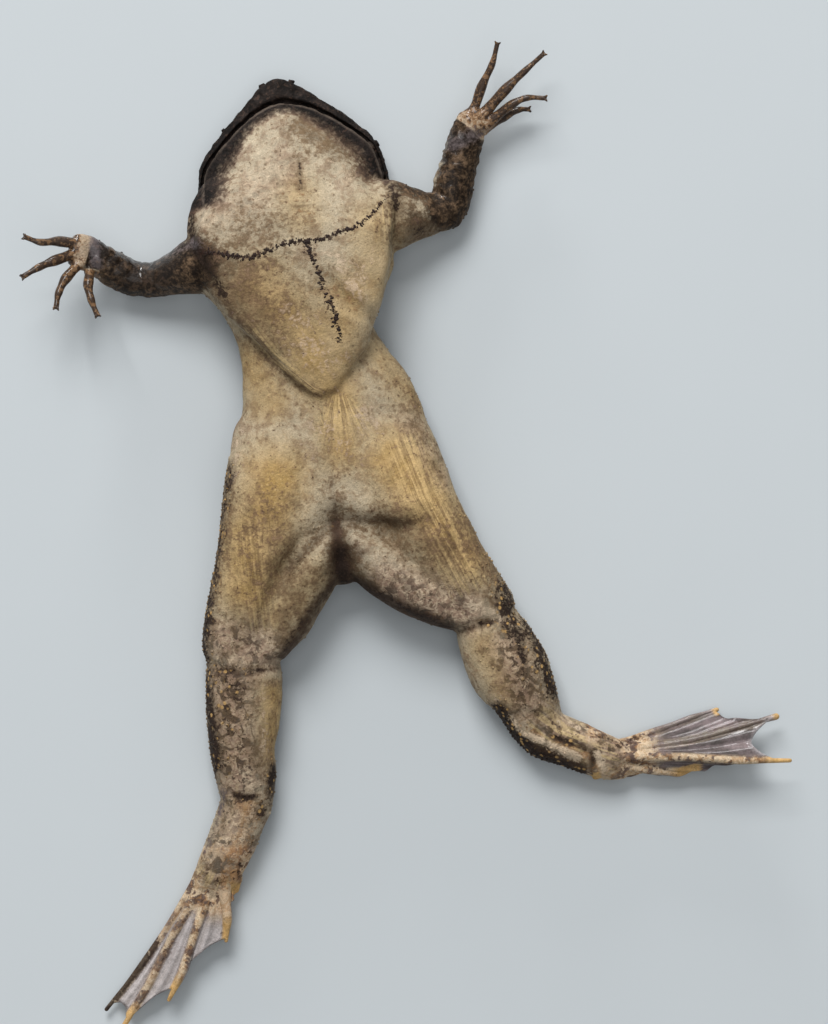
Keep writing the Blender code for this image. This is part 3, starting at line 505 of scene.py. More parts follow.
# Smooth brown shadows in the folds.
SHADE_STROKES = [
    ([(-21.4, 19), (-20.8, 9)], 1.3, 0.36),
    ([(-20.9, 9), (-20.2, 2)], 1.8, 0.62),
    ([(-20.2, 3), (-18.8, -5)], 2.8, 0.85),
    ([(-18.6, -5), (-17.6, -13)], 4, 1),
    ([(-18.9, 3.9), (-8.9, 4.6), (2.1, 2.4)], 2.2, 0.5),
    ([(-21.9, 1.9), (-27.9, -5.1), (-33.9, -10.1)], 1.8, 0.45),
    ([(-17, 0), (-13, -6)], 3.4, 0.42),
    ([(-16.9, -12.6), (-4.9, -20.4), (9.1, -26.6), (14.1, -28.6)], 2.8, 0.85),
    ([(-19.9, -13.1), (-25.9, -21.4), (-30.9, -30.4), (-35.9, -37.1)], 2.2, 0.7),
    ([(-60.3, -29.1), (-59.7, -39.3), (-57.9, -53.7), (-56, -70.1)], 3, 0.5),
    ([(-57.9, -41.1), (-50.1, -42.6), (-42.9, -41.4), (-37.5, -40.5)], 1, 0.65),
    ([(-50.1, -78.3), (-44.7, -78.6)], 1.4, 0.8),
    ([(-38.7, -70.5), (-39.4, -78.3)], 1.6, 0.8),
    ([(-44.7, -83.1), (-45.9, -85.5)], 1.6, 0.8),
    ([(15.3, -29.1), (20.1, -28.8), (24.9, -26.7)], 1.2, 0.55),
    ([(23.2, -27.2), (28.6, -26)], 1, 0.8),
    ([(29.5, -54.5), (33.9, -61.2), (38.1, -64.6), (46.5, -68.3), (53.7, -72), (56.1, -73.5)], 3.4, 1),
    ([(45.3, -61.5), (49.5, -63.3)], 1.4, 0.8),
    ([(38, -64.4), (50, -69.6)], 2.2, 0.5),
    ([(53.4, -63.6), (56.5, -65.9), (57.1, -69.5), (56, -72.6)], 1.7, 0.8),
    ([(-63.5, 100), (-62.6, 90), (-58.6, 80)], 2, 0.5),
    ([(-58, 76), (-48, 62), (-39, 50)], 1.6, 0.4),
    ([(-35, 47.6), (-27, 41), (-19, 42.6)], 1.6, 0.5),
    ([(-3, 97), (-3.4, 86)], 1.5, 0.4),
    ([(-58, -20), (-56.6, 2), (-52.4, 20)], 3, 0.5),
    ([(9, 40), (20, 12), (31.6, -11)], 3.4, 0.36),
]
# Where the wet skin of the arms and of one ankle gets a painted slate-grey sheen.
SHEEN_STROKES = [
    ([(15.5, 116.6), (21, 118.6)], 3.4, 0.75),
    ([(-108, 92.6), (-102.5, 92.6)], 1.6, 0.9),
    ([(-62, 86.4), (-75, 83.4)], 3, 0.6),
    ([(-92.5, 88.5), (-91.5, 80.5)], 2.2, 0.9),
    ([(-54, -77.7), (-55.5, -86.1), (-59.1, -95.1)], 2, 0.6),
]
ARM_STROKES = [
    ([(0, 104), (12, 100.6)], 5, 0.7),
    ([(-2, 95), (13, 93)], 7.5, 0.46),
    ([(13.6, 97), (15.6, 101), (17, 108), (20.6, 122.4)], 8, 1),
    ([(-63.5, 80), (-75.9, 76.4), (-92.4, 84)], 11, 1),
]
RUST_STROKES = [
    ([(-46.5, -84), (-51, -97)], 5, 0.6),
    ([(-53.6, -101), (-52.8, -113)], 2.4, 0.5),
    ([(-50.6, -101), (-50.2, -108)], 2, 1),
    ([(35, -58), (44, -62.4), (54, -67)], 2.6, 0.5),
    ([(57.5, -70), (62, -72)], 2, 0.5),
    ([(-31.5, 100), (-29.5, 95)], 4, 0.42),
    ([(-22, 76), (-14, 68)], 3, 0.32),
    ([(-16, -20), (12, -26)], 5, 0.2),
]
# Cream ridges and patches, partly painted highlight on the bulges and ridges of chest, breast and legs.
LIGHT_STROKES = [
    ([(31.5, -55), (35.1, -59.7), (41.7, -62.3), (46.5, -64.7), (52.5, -67.3)], 1.5, 0.85),
    ([(58.5, -66), (60.5, -72)], 1.8, 0.7),
    ([(47, -56.6), (56, -60.2), (63, -62.4)], 1.7, 0.5),
    ([(27.5, -50), (31, -57)], 3, 0.5),
    ([(20, -21), (29, -25)], 2.4, 0.6),
    ([(-22.5, 84), (-18, 79)], 3.4, 0.5),
    ([(-12, 75), (-9, 84)], 3, 0.4),
    ([(-49, 30), (-51, 16)], 2.5, 0.4),
    ([(-31, 60), (-22, 50)], 9, 0.4),
    ([(-49.5, -85), (-50.4, -88)], 3, 0.55),
    ([(-53, -91), (-55, -95)], 3.2, 0.6),
    ([(-45, -34), (-51, -38)], 3, 0.35),
    ([(-16.5, 74.5), (-7, 66.5)], 2.6, 0.5),
    ([(-44.6, -83), (-50, -96)], 2.2, 0.5),
    ([(-41.5, -46), (-41.5, -66)], 1.6, 0.45),
    ([(-48, -72), (-46, -75.5)], 3.4, 0.6),
    ([(-50, 103), (-40, 112)], 5, 0.3),
    ([(-20, 110), (-12, 101)], 5, 0.34),
    ([(-24, 30), (-10, 34)], 8, 0.34),
    ([(-50, -86), (-54, -95)], 4, 0.5),
]
PINK_STROKES = [
    ([(-4.9, -15.1), (18.1, -23.1)], 8, 0.9),
    ([(-52.9, -32), (-42, -35)], 8, 0.85),
    ([(-52, -44.1), (-49, -74.1)], 8, 0.85),
    ([(32, -34), (38.5, -52)], 7, 0.85),
    ([(45, -59), (64, -66)], 8, 0.8),
    ([(-48, -80), (-57, -104)], 8, 0.7),
    ([(-62, 94), (-44, 100), (-36, 108)], 9, 0.4),
    ([(2, 34), (12, 16)], 5, 0.45),
]
WET_STROKES = [
    ([(-72, 80), (-80, 80), (-90.9, 87), (-108, 88)], 6, 1),
    ([(11.6, 101.4), (14, 118.4)], 3, 0.5),
]
# How dark each toe is, from the first to the fifth.
LEFT_TOE_DARK = (0.2, 0.2, 0.3, 0.34, 0.5)
RIGHT_TOE_DARK = (0.4, 0.24, 0.34, 0.46, 0.95)
# How much of each toe shows its own pale colour through the membrane.
LEFT_TOE_PALE = (0.9, 1, 1, 0.25, 0.15)
RIGHT_TOE_PALE = (1, 1, 1, 0.85, 0.82)

COLOUR = {"subtype": "COLOR", "size": 3, "min": 0.0, "max": 1.0}
# The minor colours of the skin's layers, from its soft brown clouds to the stain under the seam.
MURK = (0.190, 0.132, 0.074)
STRAW = (0.64, 0.48, 0.24)
ORANGE_BROWN = (0.23, 0.128, 0.062)
RUST = (0.36, 0.185, 0.070)
CREAM = (0.58, 0.455, 0.32)
PALE_TOE = (0.68, 0.52, 0.35)
GREY_WEB = (0.52, 0.47, 0.46)
SPATTER = (0.05, 0.032, 0.024)
LEG_DARK = (0.070, 0.044, 0.033)
TOE_DARK = (0.095, 0.058, 0.050)
FINGER_DARK = (0.045, 0.026, 0.016)
ARM_DARK = (0.018, 0.011, 0.007)
ARM_BROWN = (0.205, 0.130, 0.074)
SHEEN_GREY = (0.120, 0.098, 0.100)
ROSE = (0.30, 0.215, 0.150)
SPECK = (0.13, 0.085, 0.045)
LIP_DARK = (0.008, 0.006, 0.005)
LIP_SOFT = (0.024, 0.017, 0.014)
LIP_HALO = (0.12, 0.072, 0.05)
SHADE_UMBER = (0.046, 0.026, 0.017)
AMBER = (0.52, 0.29, 0.15)
WARM_TINT = (1.07, 0.99, 0.92)
FILM_HIGHLIGHT = (0.66, 0.63, 0.64)
LIP_HIGHLIGHT = (0.15, 0.115, 0.09)
SEAM_COLOUR = (0.036, 0.018, 0.013)


def length_setting(name, description, default, **limits):
    """A length in the panel."""
    return FloatProperty(name=name, description=description, default=default, unit="LENGTH", **limits)


def colour_setting(name, description, default):
    """A colour in the panel."""
    return FloatVectorProperty(name=name, description=description, default=default, **COLOUR)


class ToadSkinSettings(bpy.types.PropertyGroup):
    """The sizes and colours of the skin."""

    grid: length_setting("Grid", "Spacing of the skin's grid", 0.62 * MM, min=0.3 * MM)
    body_triangles: IntProperty(
        name="Triangles", description="Triangles of the trunk and limbs", default=134000
    )
    web_thickness: length_setting("Web", "Thickness of the membranes between the toes", 0.6 * MM)
    fold_depth: length_setting("Folds", "Depth of the arms' transverse folds", 0.55 * MM)
    lump_height: length_setting("Lumps", "Height of the skin's own unevenness", 0.36 * MM)
    roughness: FloatProperty(name="Roughness", description="Roughness of the damp skin", default=0.52)
    pale: colour_setting("Pale", "Throat and chest", (0.50, 0.415, 0.295))
    olive: colour_setting("Olive", "Belly and thighs", (0.43, 0.292, 0.100))
    pink: colour_setting("Pink", "Lower legs", (0.32, 0.212, 0.150))
    brown: colour_setting("Brown", "Soft mottling", (0.150, 0.100, 0.056))
    dark: colour_setting("Dark", "Dark mottling", (0.024, 0.015, 0.011))
    back: colour_setting("Back", "Skin of the back", (0.085, 0.062, 0.042))
    tan: colour_setting("Tan", "Toe tips and dots", (0.60, 0.37, 0.14))
    palm: colour_setting("Palm", "Palms and fingers", (0.46, 0.345, 0.235))
    web: colour_setting("Web colour", "Membranes", (0.22, 0.170, 0.175))


class ToadTubercleSettings(bpy.types.PropertyGroup):
    """The small pointed tubercles of the skin."""

    spacing: length_setting("Spacing", "Least distance between two tubercles", 1.15 * MM)
    radius: length_setting("Radius", "Radius of the largest tubercle", 0.48 * MM)
    seed: IntProperty(name="Seed", description="Seed of the random places", default=7)


class ToadSeamSettings(bpy.types.PropertyGroup):
    """The row of papillae along the T-shaped seam."""

    spacing: length_setting("Spacing", "From papilla to papilla", 0.62 * MM)
    radius: length_setting("Radius", "Half length of a papilla", 0.85 * MM)
    seed: IntProperty(name="Seed", description="Seed of the random turns", default=3)
    colour: colour_setting("Colour", "Seam", (0.022, 0.012, 0.009))


class ToadStageSettings(bpy.types.PropertyGroup):
    """The floor, the lights and the camera."""

    floor: colour_setting("Floor", "Colour of the floor", (0.60, 0.64, 0.66))
    key_power: FloatProperty(name="Key", description="Power of the key light in watts", default=84.0)
    fill_power: FloatProperty(name="Fill", description="Power of the overhead light in watts", default=2.6)
    rim_power: FloatProperty(name="Rim", description="Power of the low light in watts", default=24.0)
    world: FloatProperty(name="World", description="Strength of the surrounding light", default=0.26)
    height: length_setting("Camera", "Height of the camera", 1.6)
    lens: FloatProperty(name="Lens", description="Focal length in millimetres", default=186.3)


class Num:
    """A number in a shader tree, on which Python's own operators add Math nodes."""

    def __init__(self, tree, socket):
        self.tree = tree
        self.socket = socket

    def math(self, operation, first, second):
        """One Math node on two numbers."""
        made = add_node(self.tree, "ShaderNodeMath", {"operation": operation}, {0: first, 1: second})
        return Num(self.tree, made.outputs[0])

    def __add__(self, other):
        return self.math("ADD", self, other)

    def __radd__(self, other):
        return self.math("ADD", other, self)

    def __sub__(self, other):
        return self.math("SUBTRACT", self, other)

    def __rsub__(self, other):
        return self.math("SUBTRACT", other, self)

    def __mul__(self, other):
        return self.math("MULTIPLY", self, other)

    def either(self, other):
        """The larger of two numbers."""
        return self.math("MAXIMUM", self, other)

    def rises(self, low, high):
        """Goes softly from 0 at low to 1 at high."""
        settings = {"interpolation_type": "SMOOTHSTEP"}
        values = {"Value": self, "From Min": low, "From Max": high, "To Min": 0.0, "To Max": 1.0}
        made = add_node(self.tree, "ShaderNodeMapRange", settings, values)
        return Num(self.tree, made.outputs["Result"])


def add_node(tree, kind, settings, values):
    """A node with its settings set first, and then its sockets' values or links."""
    made = tree.nodes.new(kind)
    for name, value in settings.items():
        setattr(made, name, value)
    for key, value in values.items():
        socket = made.inputs[key]
        if isinstance(value, Num):
            tree.links.new(value.socket, socket)
        elif isinstance(value, bpy.types.NodeSocket):
            tree.links.new(value, socket)
        else:
            socket.default_value = value
    return made


def blend_colours(tree, factor, first, second, kind="MIX"):
    """A colour that goes from the first to the second as factor goes from 0 to 1."""
    settings = {"data_type": "RGBA", "blend_type": kind, "clamp_factor": True}
    colours = [(*c, 1.0) if not isinstance(c, bpy.types.NodeSocket) else c for c in (first, second)]
    return add_node(tree, "ShaderNodeMix", settings, {0: factor, 6: colours[0], 7: colours[1]}).outputs[2]


def scaled(tree, vector, factor):
    """A vector times a number."""
    values = {0: vector, "Scale": factor}
    return add_node(tree, "ShaderNodeVectorMath", {"operation": "SCALE"}, values).outputs[0]


def places(tree):
    """The Object coordinates, in millimetres."""
    return scaled(tree, add_node(tree, "ShaderNodeTexCoord", {}, {}).outputs["Object"], 1 / MM)


def cloud(tree, place, size, detail=3.0, roughness=0.55, distortion=0.0):
    """Soft noise whose lumps are about this many millimetres across."""
    values = {"Vector": place, "Scale": 1 / size, "Detail": detail, "Roughness": roughness}
    values["Distortion"] = distortion
    return Num(tree, add_node(tree, "ShaderNodeTexNoise", {}, values).outputs[0])


def dots(tree, place, size):
    """The distance to the nearest of scattered points, over their mean distance apart."""
    made = add_node(tree, "ShaderNodeTexVoronoi", {}, {"Vector": place, "Scale": 1 / size})
    return Num(tree, made.outputs["Distance"])


def painted(tree, name):
    """A painted amount of the mesh."""
    return Num(tree, add_node(tree, "ShaderNodeAttribute", {"attribute_name": name}, {}).outputs["Fac"])


def grey(tree, amount):
    """A grey colour of this amount."""
    return add_node(tree, "ShaderNodeCombineColor", {}, {0: amount, 1: amount, 2: amount}).outputs[0]


def new_material(name):
    """An empty material and its Principled shader."""
    made = bpy.data.materials.new(name)
    made.use_nodes = True
    return made, made.node_tree, made.node_tree.nodes["Principled BSDF"]


class SkinTree:
    """The skin's shader tree: its noises in millimetres, its painted amounts, and its colour so far."""

    def __init__(self, tree, skin):
        self.tree = tree
        self.skin = skin
        self.amounts = {}
        self.place = places(tree)
        self.broad = cloud(tree, self.place, 10.0)
        self.middle = cloud(tree, self.place, 3.7, 4.0, 0.58, 0.25)
        self.small = cloud(tree, self.place, 1.25, 4.0, 0.68, 0.25)
        self.grain = cloud(tree, self.place, 0.42, 2.0, 0.6)
        self.marble = cloud(tree, self.place, 2.4, 4.0, 0.62, 1.4)
        self.patch = cloud(tree, self.place, 3.0, 2.0, 0.5, 0.9)
        run = {"X": self["run_across"], "Y": self["run_along"], "Z": 0.0}
        self.streak = cloud(tree, add_node(tree, "ShaderNodeCombineXYZ", {}, run).outputs[0], 1.0, 3.0, 0.6)
        self.pattern = self.small * 0.32 + self.marble * 0.26 + self.middle * 0.24 + self.broad * 0.18 - 0.5
        self.colour = skin.pale

    def __getitem__(self, name):
        """The painted amount of this name."""
        if name not in self.amounts:
            self.amounts[name] = painted(self.tree, name)
        return self.amounts[name]

    def dots(self, size):
        """The distance to scattered points about this many millimetres apart."""
        return dots(self.tree, self.place, size)

    def mix(self, amount, first, second):
        """A colour between two."""
        return blend_colours(self.tree, amount, first, second)

    def lay(self, amount, colour, kind="MIX"):
        """Lays a colour over the skin's colour so far."""
        self.colour = blend_colours(self.tree, amount, self.colour, colour, kind)


def lay_ground(s):
    """The pale throat and chest, the olive belly and thighs, and the pink legs."""
    soft = (s.broad * 0.4 + s.middle * 0.4 + s.marble * 0.2).rises(0.47, 0.575)
    s.lay(soft * 0.78, ROSE)
    s.lay(s["olive"] * (0.5 + s.broad * 0.9), s.skin.olive)
    blush = s.mix((s.marble * 0.6 + s.small * 0.4).rises(0.44, 0.60), s.skin.pink, CREAM)
    hollow = 1.0 - (s.patch * 0.84 + s.small * 0.16 - s["dark"] * 0.10).rises(0.41, 0.465)
    blush = s.mix(hollow * (0.46 + s["dark"] * 1.5), blush, LEG_DARK)
    s.lay((s["pink"] * 1.1 + s.pattern * 1.6).rises(0.0, 1.0), blush)


def lay_clouds(s):
    """Soft brown clouds, partly painted shade, and yellow fibres with their shadows."""
    leg, brown, olive = s["pink"], s["brown"], s["olive"]
    # The brown strokes laid smoothly: mottling, and painted shade where they lie in folds and at edges.
    s.lay(brown * (0.36 - leg * 0.2), MURK)
    murk = (s.middle * 0.5 + s.small * 0.5).rises(0.45, 0.57) * (0.22 + brown * 0.8 + s.broad * 0.3)
    s.lay(murk * (1.0 - leg.either(olive * 0.45) * 0.6), MURK)
    s.lay(s.streak.rises(0.46, 0.57) * s["fibre"] * 0.8, STRAW)
    s.lay((1.0 - s.streak.rises(0.38, 0.49)) * s["fibre"] * 0.5, s.skin.brown)


def lay_freckles(s):
    """Freckles, spatter, specks, and the yellow granules of the olive skin."""
    brown, olive = s["brown"], s["olive"]
    freckle = (s.small * 0.75 + s.grain * 0.25 + brown * 0.05 + s["dark"] * 0.05).rises(0.555, 0.66)
    s.lay(freckle * (0.4 + s.broad * 0.5 - olive * 0.35), s.skin.brown)
    spatter = (s.small * 0.6 + s.middle * 0.4).rises(0.55, 0.60) * s["pink"].either(brown * 0.5)
    s.lay(spatter * 0.85, SPATTER)
    specks = 1.0 - (s.dots(2.3) + (s.small - 0.5) * 0.3).rises(0.16, 0.27)
    s.lay(specks * s.middle.rises(0.40, 0.52) * (0.66 - olive * 0.5), SPECK)
    s.lay((1.0 - s.dots(1.5)).rises(0.70, 0.84) * olive * 0.45, STRAW)


def lay_strokes(s):
    """The mottling, the folds' painted shadows, and the rusty and cream patches, the cream partly painted
    highlight.
    """
    tone = (s["brown"] * 0.42 + s["dark"] + s.pattern * 2.9).rises(0.16, 0.66)
    s.lay(tone * (0.25 + s.small * 0.95) * (1.0 - s["pink"] * 0.5), s.skin.brown)
    # Painted shade in the folds and hollows.
    shade = s["shade"] + (s.middle * 0.5 + s.small * 0.5 - 0.5) * 0.9
    s.lay(shade.rises(0.04, 0.9) * 0.92, SHADE_UMBER)
    s.lay((s["rust"] + s.pattern * 3.6).rises(0.26, 0.9) * 0.8, RUST)
    # Cream patches, partly painted highlight on bulges and ridges.
    s.lay((s["light"] + s.pattern * 4.0).rises(0.32, 0.76) * 0.9, CREAM)


def lay_arms_and_back(s):
    """The dark wrinkled arms, with painted shade in their furrows, and the back."""
    patches = s.middle * 0.35 + s.marble * 0.3 + s.small * 0.35 - s["wet"] * 0.06
    arm = s.mix(patches.rises(0.42, 0.68), ARM_DARK, ARM_BROWN)
    # Painted shade in the arms' furrows and folds.
    arm = s.mix(s["shade"] * 0.8, arm, ARM_DARK)
    s.lay((s["arm"] + s.pattern * 1.6).rises(0.34, 0.62), arm)
    back = s.mix(s.pattern.rises(-0.06, 0.07), s.skin.dark, s.skin.back)
    s.lay((s["back"] + s.pattern * 0.9).rises(0.42, 0.7), back)


def lay_feet(s):
    """The mottled toes, and the membranes between them, with a painted highlight along a shining free edge.
    """
    toe = s.mix((s.middle * 0.75 + s.small * 0.25).rises(0.49, 0.545), PALE_TOE, TOE_DARK)
    toe = s.mix(s.marble.rises(0.48, 0.56) * 0.6, toe, RUST)
    toe = s.mix(s["rust"] * (0.2 + s.small * 0.9), toe, AMBER)
    s.lay(s["toe"] * 0.8, toe)
    # The membranes' streaks along their folds: the light ones are partly painted highlight.
    tone = (s.streak * 0.6 + s.middle * 0.4).rises(0.40, 0.62)
    film = s.mix(tone, [part * 0.26 for part in s.skin.web], s.skin.web)
    grey_film = s.mix(tone, [part * 0.80 for part in GREY_WEB], GREY_WEB)
    s.lay(s["membrane"] * 0.94, s.mix(s["grey"], film, grey_film))
    # A painted highlight along the shining free edge.
    s.lay(s["film_edge"] * 0.6, FILM_HIGHLIGHT)


def lay_spots(s):
    """Dark blots, and the tan of toe tips and tubercles."""
    blot = (s["dark"] * 1.04 + s.pattern * (3.4 + s["pink"] * 1.2)).rises(0.56, 0.80)
    s.lay(blot * (0.96 - s["membrane"] * 0.5), s.skin.dark)
    spots = (1.0 - s.dots(2.2) + (s.small - 0.5) * 0.4).rises(0.68, 0.84) * s.middle.rises(0.40, 0.52)
    s.lay((spots * s["warts"].rises(0.2, 0.6) * 0.8).either(s["tan"]), s.skin.tan)


def lay_hands(s):
    """The cream palms, the orange-brown fingers, and the painted grey sheen of the wet wrists and arms."""
    fine = s.small * 0.8 + s.middle * 0.2 - 0.5
    hand = s.mix((fine + s["dark"] * 0.45 - 0.05).rises(0.0, 0.10), s.skin.palm, ORANGE_BROWN)
    hand = s.mix((s["dark"] + fine * 4.0).rises(0.40, 0.66), hand, FINGER_DARK)
    s.lay((s["hand"] + s.pattern * 2.0).rises(0.4, 0.6), hand)
    s.lay((s["slate"] + s.pattern * 3.2).rises(0.3, 0.8) * 0.8, SHEEN_GREY)


def lay_mouth_and_seam(s):
    """The dark jaws with the painted highlight on the lip's edge, and the stain under the seam."""
    s.lay((s["lip"] * 1.1 + s.pattern * 2.6).rises(0.06, 0.5) * 0.7, LIP_HALO)
    rim = s.mix(s.middle.rises(0.42, 0.66), LIP_DARK, LIP_SOFT)
    rim = s.mix(s.small.rises(0.54, 0.68) * 0.34, rim, LIP_HALO)
    s.lay((s["lip"] + s.pattern * 2.0).rises(0.22, 0.66), rim)
    s.lay(s["lip_line"] * 0.75, LIP_HIGHLIGHT)
    s.lay((s["seam"] + (s.small - 0.5) * 3.0).rises(0.44, 0.66) * 0.9, SEAM_COLOUR)


def lay_grain(s):
    """The grain and mottling of every colour, and the warm tint of the olive skin."""
    olive, leg = s["olive"], s["pink"]
    speckle = (s.grain + s.small * 1.05 - 1.025) * (1.0 - olive * 0.4 - leg * 0.3)
    mottle = (s.marble * 0.5 + s.middle * 0.5 + s.patch * 0.5 - 0.75) * (0.7 + s["brown"].either(leg) * 1.3)
    s.lay(1.0, grey(s.tree, 1.0 + speckle + mottle), "MULTIPLY")
    s.lay(1.0, s.mix(olive.rises(0.1, 0.9), (1.0, 1.0, 1.0), WARM_TINT), "MULTIPLY")


SKIN_LAYERS = (lay_ground, lay_clouds, lay_freckles, lay_strokes, lay_arms_and_back)
SKIN_LAYERS += (lay_feet, lay_spots, lay_hands, lay_mouth_and_seam, lay_grain)


def skin_material(skin):
    """Damp mottled skin, whose pigments, painted shade and painted highlights lie where the mesh is painted
    with them.
    """
    made, tree, shader = new_material("toad_skin")
    s = SkinTree(tree, skin)
    for lay_layer in SKIN_LAYERS:
        lay_layer(s)
    tree.links.new(s.colour, shader.inputs["Base Color"])
    damp = s["wet"].either(s["membrane"] * 0.7).either(s["hand"] * 0.45)
    rough = skin.roughness + 0.1 - damp * 0.26 + (s.small - 0.5) * 0.3
    tree.links.new(rough.socket, shader.inputs["Roughness"])
    tree.links.new((damp * 0.85).socket, shader.inputs["Coat Weight"])
    shader.inputs["Coat Roughness"].default_value = 0.13
    shader.inputs["Specular IOR Level"].default_value = 0.1
    pores = s.dots(0.75) * (0.3 + s["wet"] * 0.4)
    height = s.grain * 0.3 + s.small * 0.95 + pores + s.middle * 0.7 + s.streak * s["fibre"] * 2.4
    bump = add_node(tree, "ShaderNodeBump", {}, {"Strength": 0.7, "Distance": 0.4 * MM, "Height": height})
    tree.links.new(bump.outputs[0], shader.inputs["Normal"])
    return made


def seam_material(seam):
    """The dark papillae of the seam."""
    made, tree, shader = new_material("toad_seam")
    tone = cloud(tree, places(tree), 1.0)
    lighter = tuple(part * 2.0 for part in seam.colour)
    colour = blend_colours(tree, tone.rises(0.45, 0.72), tuple(seam.colour), lighter)
    tree.links.new(colour, shader.inputs["Base Color"])
    shader.inputs["Roughness"].default_value = 0.6
    shader.inputs["Specular IOR Level"].default_value = 0.2
    return made


def eye_material():
    """A wet dark eye with a thin bronze ring round its pupil."""
    made, tree, shader = new_material("toad_eye")
    ring = painted(tree, "ring")
    flecks = cloud(tree, places(tree), 0.35, 2.0)
    iris = (ring.rises(0.30, 0.36) * (1.0 - ring.rises(0.62, 0.7))) * flecks.rises(0.35, 0.6)
    colour = blend_colours(tree, iris, (0.008, 0.007, 0.006), (0.16, 0.09, 0.03))
    tree.links.new(colour, shader.inputs["Base Color"])
    shader.inputs["Roughness"].default_value = 0.06
    return made


def floor_material(colour):
    """The plain pale floor."""
    made, tree, shader = new_material("stage_floor")
    tone = cloud(tree, places(tree), 60.0, 2.0)
    darker = tuple(part * 0.97 for part in colour)
    tree.links.new(blend_colours(tree, tone, tuple(colour), darker), shader.inputs["Base Color"])
    shader.inputs["Roughness"].default_value = 0.8
    return made


def scene_object(name, data):
    """A new object in the scene."""
    made = bpy.data.objects.new(name, data)
    bpy.context.scene.collection.objects.link(made)
    return made


def new_object(name, points, faces):
    """A mesh object from points in the stations' millimetres, with its faces turned outwards."""
    mesh = bpy.data.meshes.new(name)
    mesh.from_pydata([tuple(point * MM) for point in np.asarray(points)], [], faces)
    shape = bmesh.new()
    shape.from_mesh(mesh)
    bmesh.ops.recalc_face_normals(shape, faces=shape.faces)
    shape.to_mesh(mesh)
    shape.free()
    return scene_object(name, mesh)


def unit(vectors):
    """Vectors of length one."""
    return vectors / np.linalg.norm(vectors, axis=-1, keepdims=True)


def around(sides):
    """As many angles, evenly spaced round a circle."""
    return np.arange(sides) * 2 * math.pi / sides


def smooth_curve(stations, steps):
    """A Catmull-Rom curve through the stations, with this many steps from one to the next."""
    rows = np.array(stations, float)
    padded = np.vstack([2 * rows[0] - rows[1], rows, 2 * rows[-1] - rows[-2]])
    found = []
    for index in range(1, len(rows)):
        before, start, end, after = padded[index - 1 : index + 3]
        for t in np.arange(steps) / steps:
            bend = 2 * before - 5 * start + 4 * end - after
            twist = 3 * start - before - 3 * end + after
            found.append(start + 0.5 * ((end - before) * t + bend * t**2 + twist * t**3))
    found.append(rows[-1])
    return np.array(found)


def rings_object(name, rings):
    """A closed body through rings of points, each end closed by a fan round its middle."""
    count, sides = rings.shape[:2]
    points = np.vstack([rings.reshape(-1, 3), rings[0].mean(0), rings[-1].mean(0)])
    first_pole = count * sides
    last_pole = first_pole + 1
    faces = []
    for row in range(count - 1):
        for side in range(sides):
            step = (side + 1) % sides
            here, beyond = row * sides, (row + 1) * sides
            faces.append((here + side, here + step, beyond + step, beyond + side))
    for side in range(sides):
        step = (side + 1) % sides
        end = (count - 1) * sides
        faces.append((step, side, first_pole))
        faces.append((end + side, end + step, last_pole))
    return new_object(name, points, faces)


def limb(name, stations, sides=48, steps=8, boxiness=2.0, rounding=0.7):
    """A limb of oval section along its stations, with rounded ends."""
    rows = smooth_curve(stations, steps)
    centres, widths, depths = rows[:, :3], rows[:, 3], rows[:, 4]
    along = unit(np.gradient(centres, axis=0))
    across = unit(np.cross(along, UP))
    over = np.cross(across, along)
    angles = around(sides)
    wide = np.sign(np.cos(angles)) * np.abs(np.cos(angles)) ** (2 / boxiness)
    deep = np.sign(np.sin(angles)) * np.abs(np.sin(angles)) ** (2 / boxiness)

    def ring(row, push=0.0, scale=1.0):
        middle = centres[row] + along[row] * push
        sideways = across[row] * widths[row] * scale
        upwards = over[row] * depths[row] * scale
        return middle + np.outer(wide, sideways) + np.outer(deep, upwards)

    rings = [ring(row) for row in range(len(rows))]
    for turn in (math.radians(25), math.radians(50), math.radians(74)):
        first_push = rounding * min(widths[0], depths[0]) * math.sin(turn)
        last_push = rounding * min(widths[-1], depths[-1]) * math.sin(turn)
        rings.insert(0, ring(0, -first_push, math.cos(turn)))
        rings.append(ring(-1, last_push, math.cos(turn)))
    return rings_object(name, np.array(rings))


def digit(name, stations):
    """A round finger or toe that ends in a rounded tip, a little thicker at its knuckles."""
    rows = smooth_curve(stations, 4)
    knuckles = 1 + 0.1 * np.cos(np.arange(len(rows)) * 2 * math.pi / 4)
    rows = [(x, y, z, radius * swell, radius * swell) for (x, y, z, radius), swell in zip(rows, knuckles)]
    return limb(name, rows, sides=14, steps=2, rounding=1.0)


def spike(name, root, direction, length, radius, sides=9, tip_share=0.35):
    """A short tapered flap or lobe with a blunt tip, its root sunk in what it grows from."""
    direction = unit(np.array(direction, float))
    across = unit(np.cross(direction, UP + 0.1 * direction[::-1] + np.array([0.03, 0.0, 0.0])))
    over = np.cross(across, direction)
    angles = around(sides)
    rings = []
    for share, width in ((0.0, 1.0), (0.3, 0.9), (0.6, 0.72), (0.88, tip_share + 0.1), (1.0, tip_share)):
        middle = np.array(root, float) + direction * length * share
        rings.append(
            middle
            + np.outer(np.cos(angles), across * radius * width)
            + np.outer(np.sin(angles), over * radius * width)
        )
    return rings_object(name, np.array(rings))


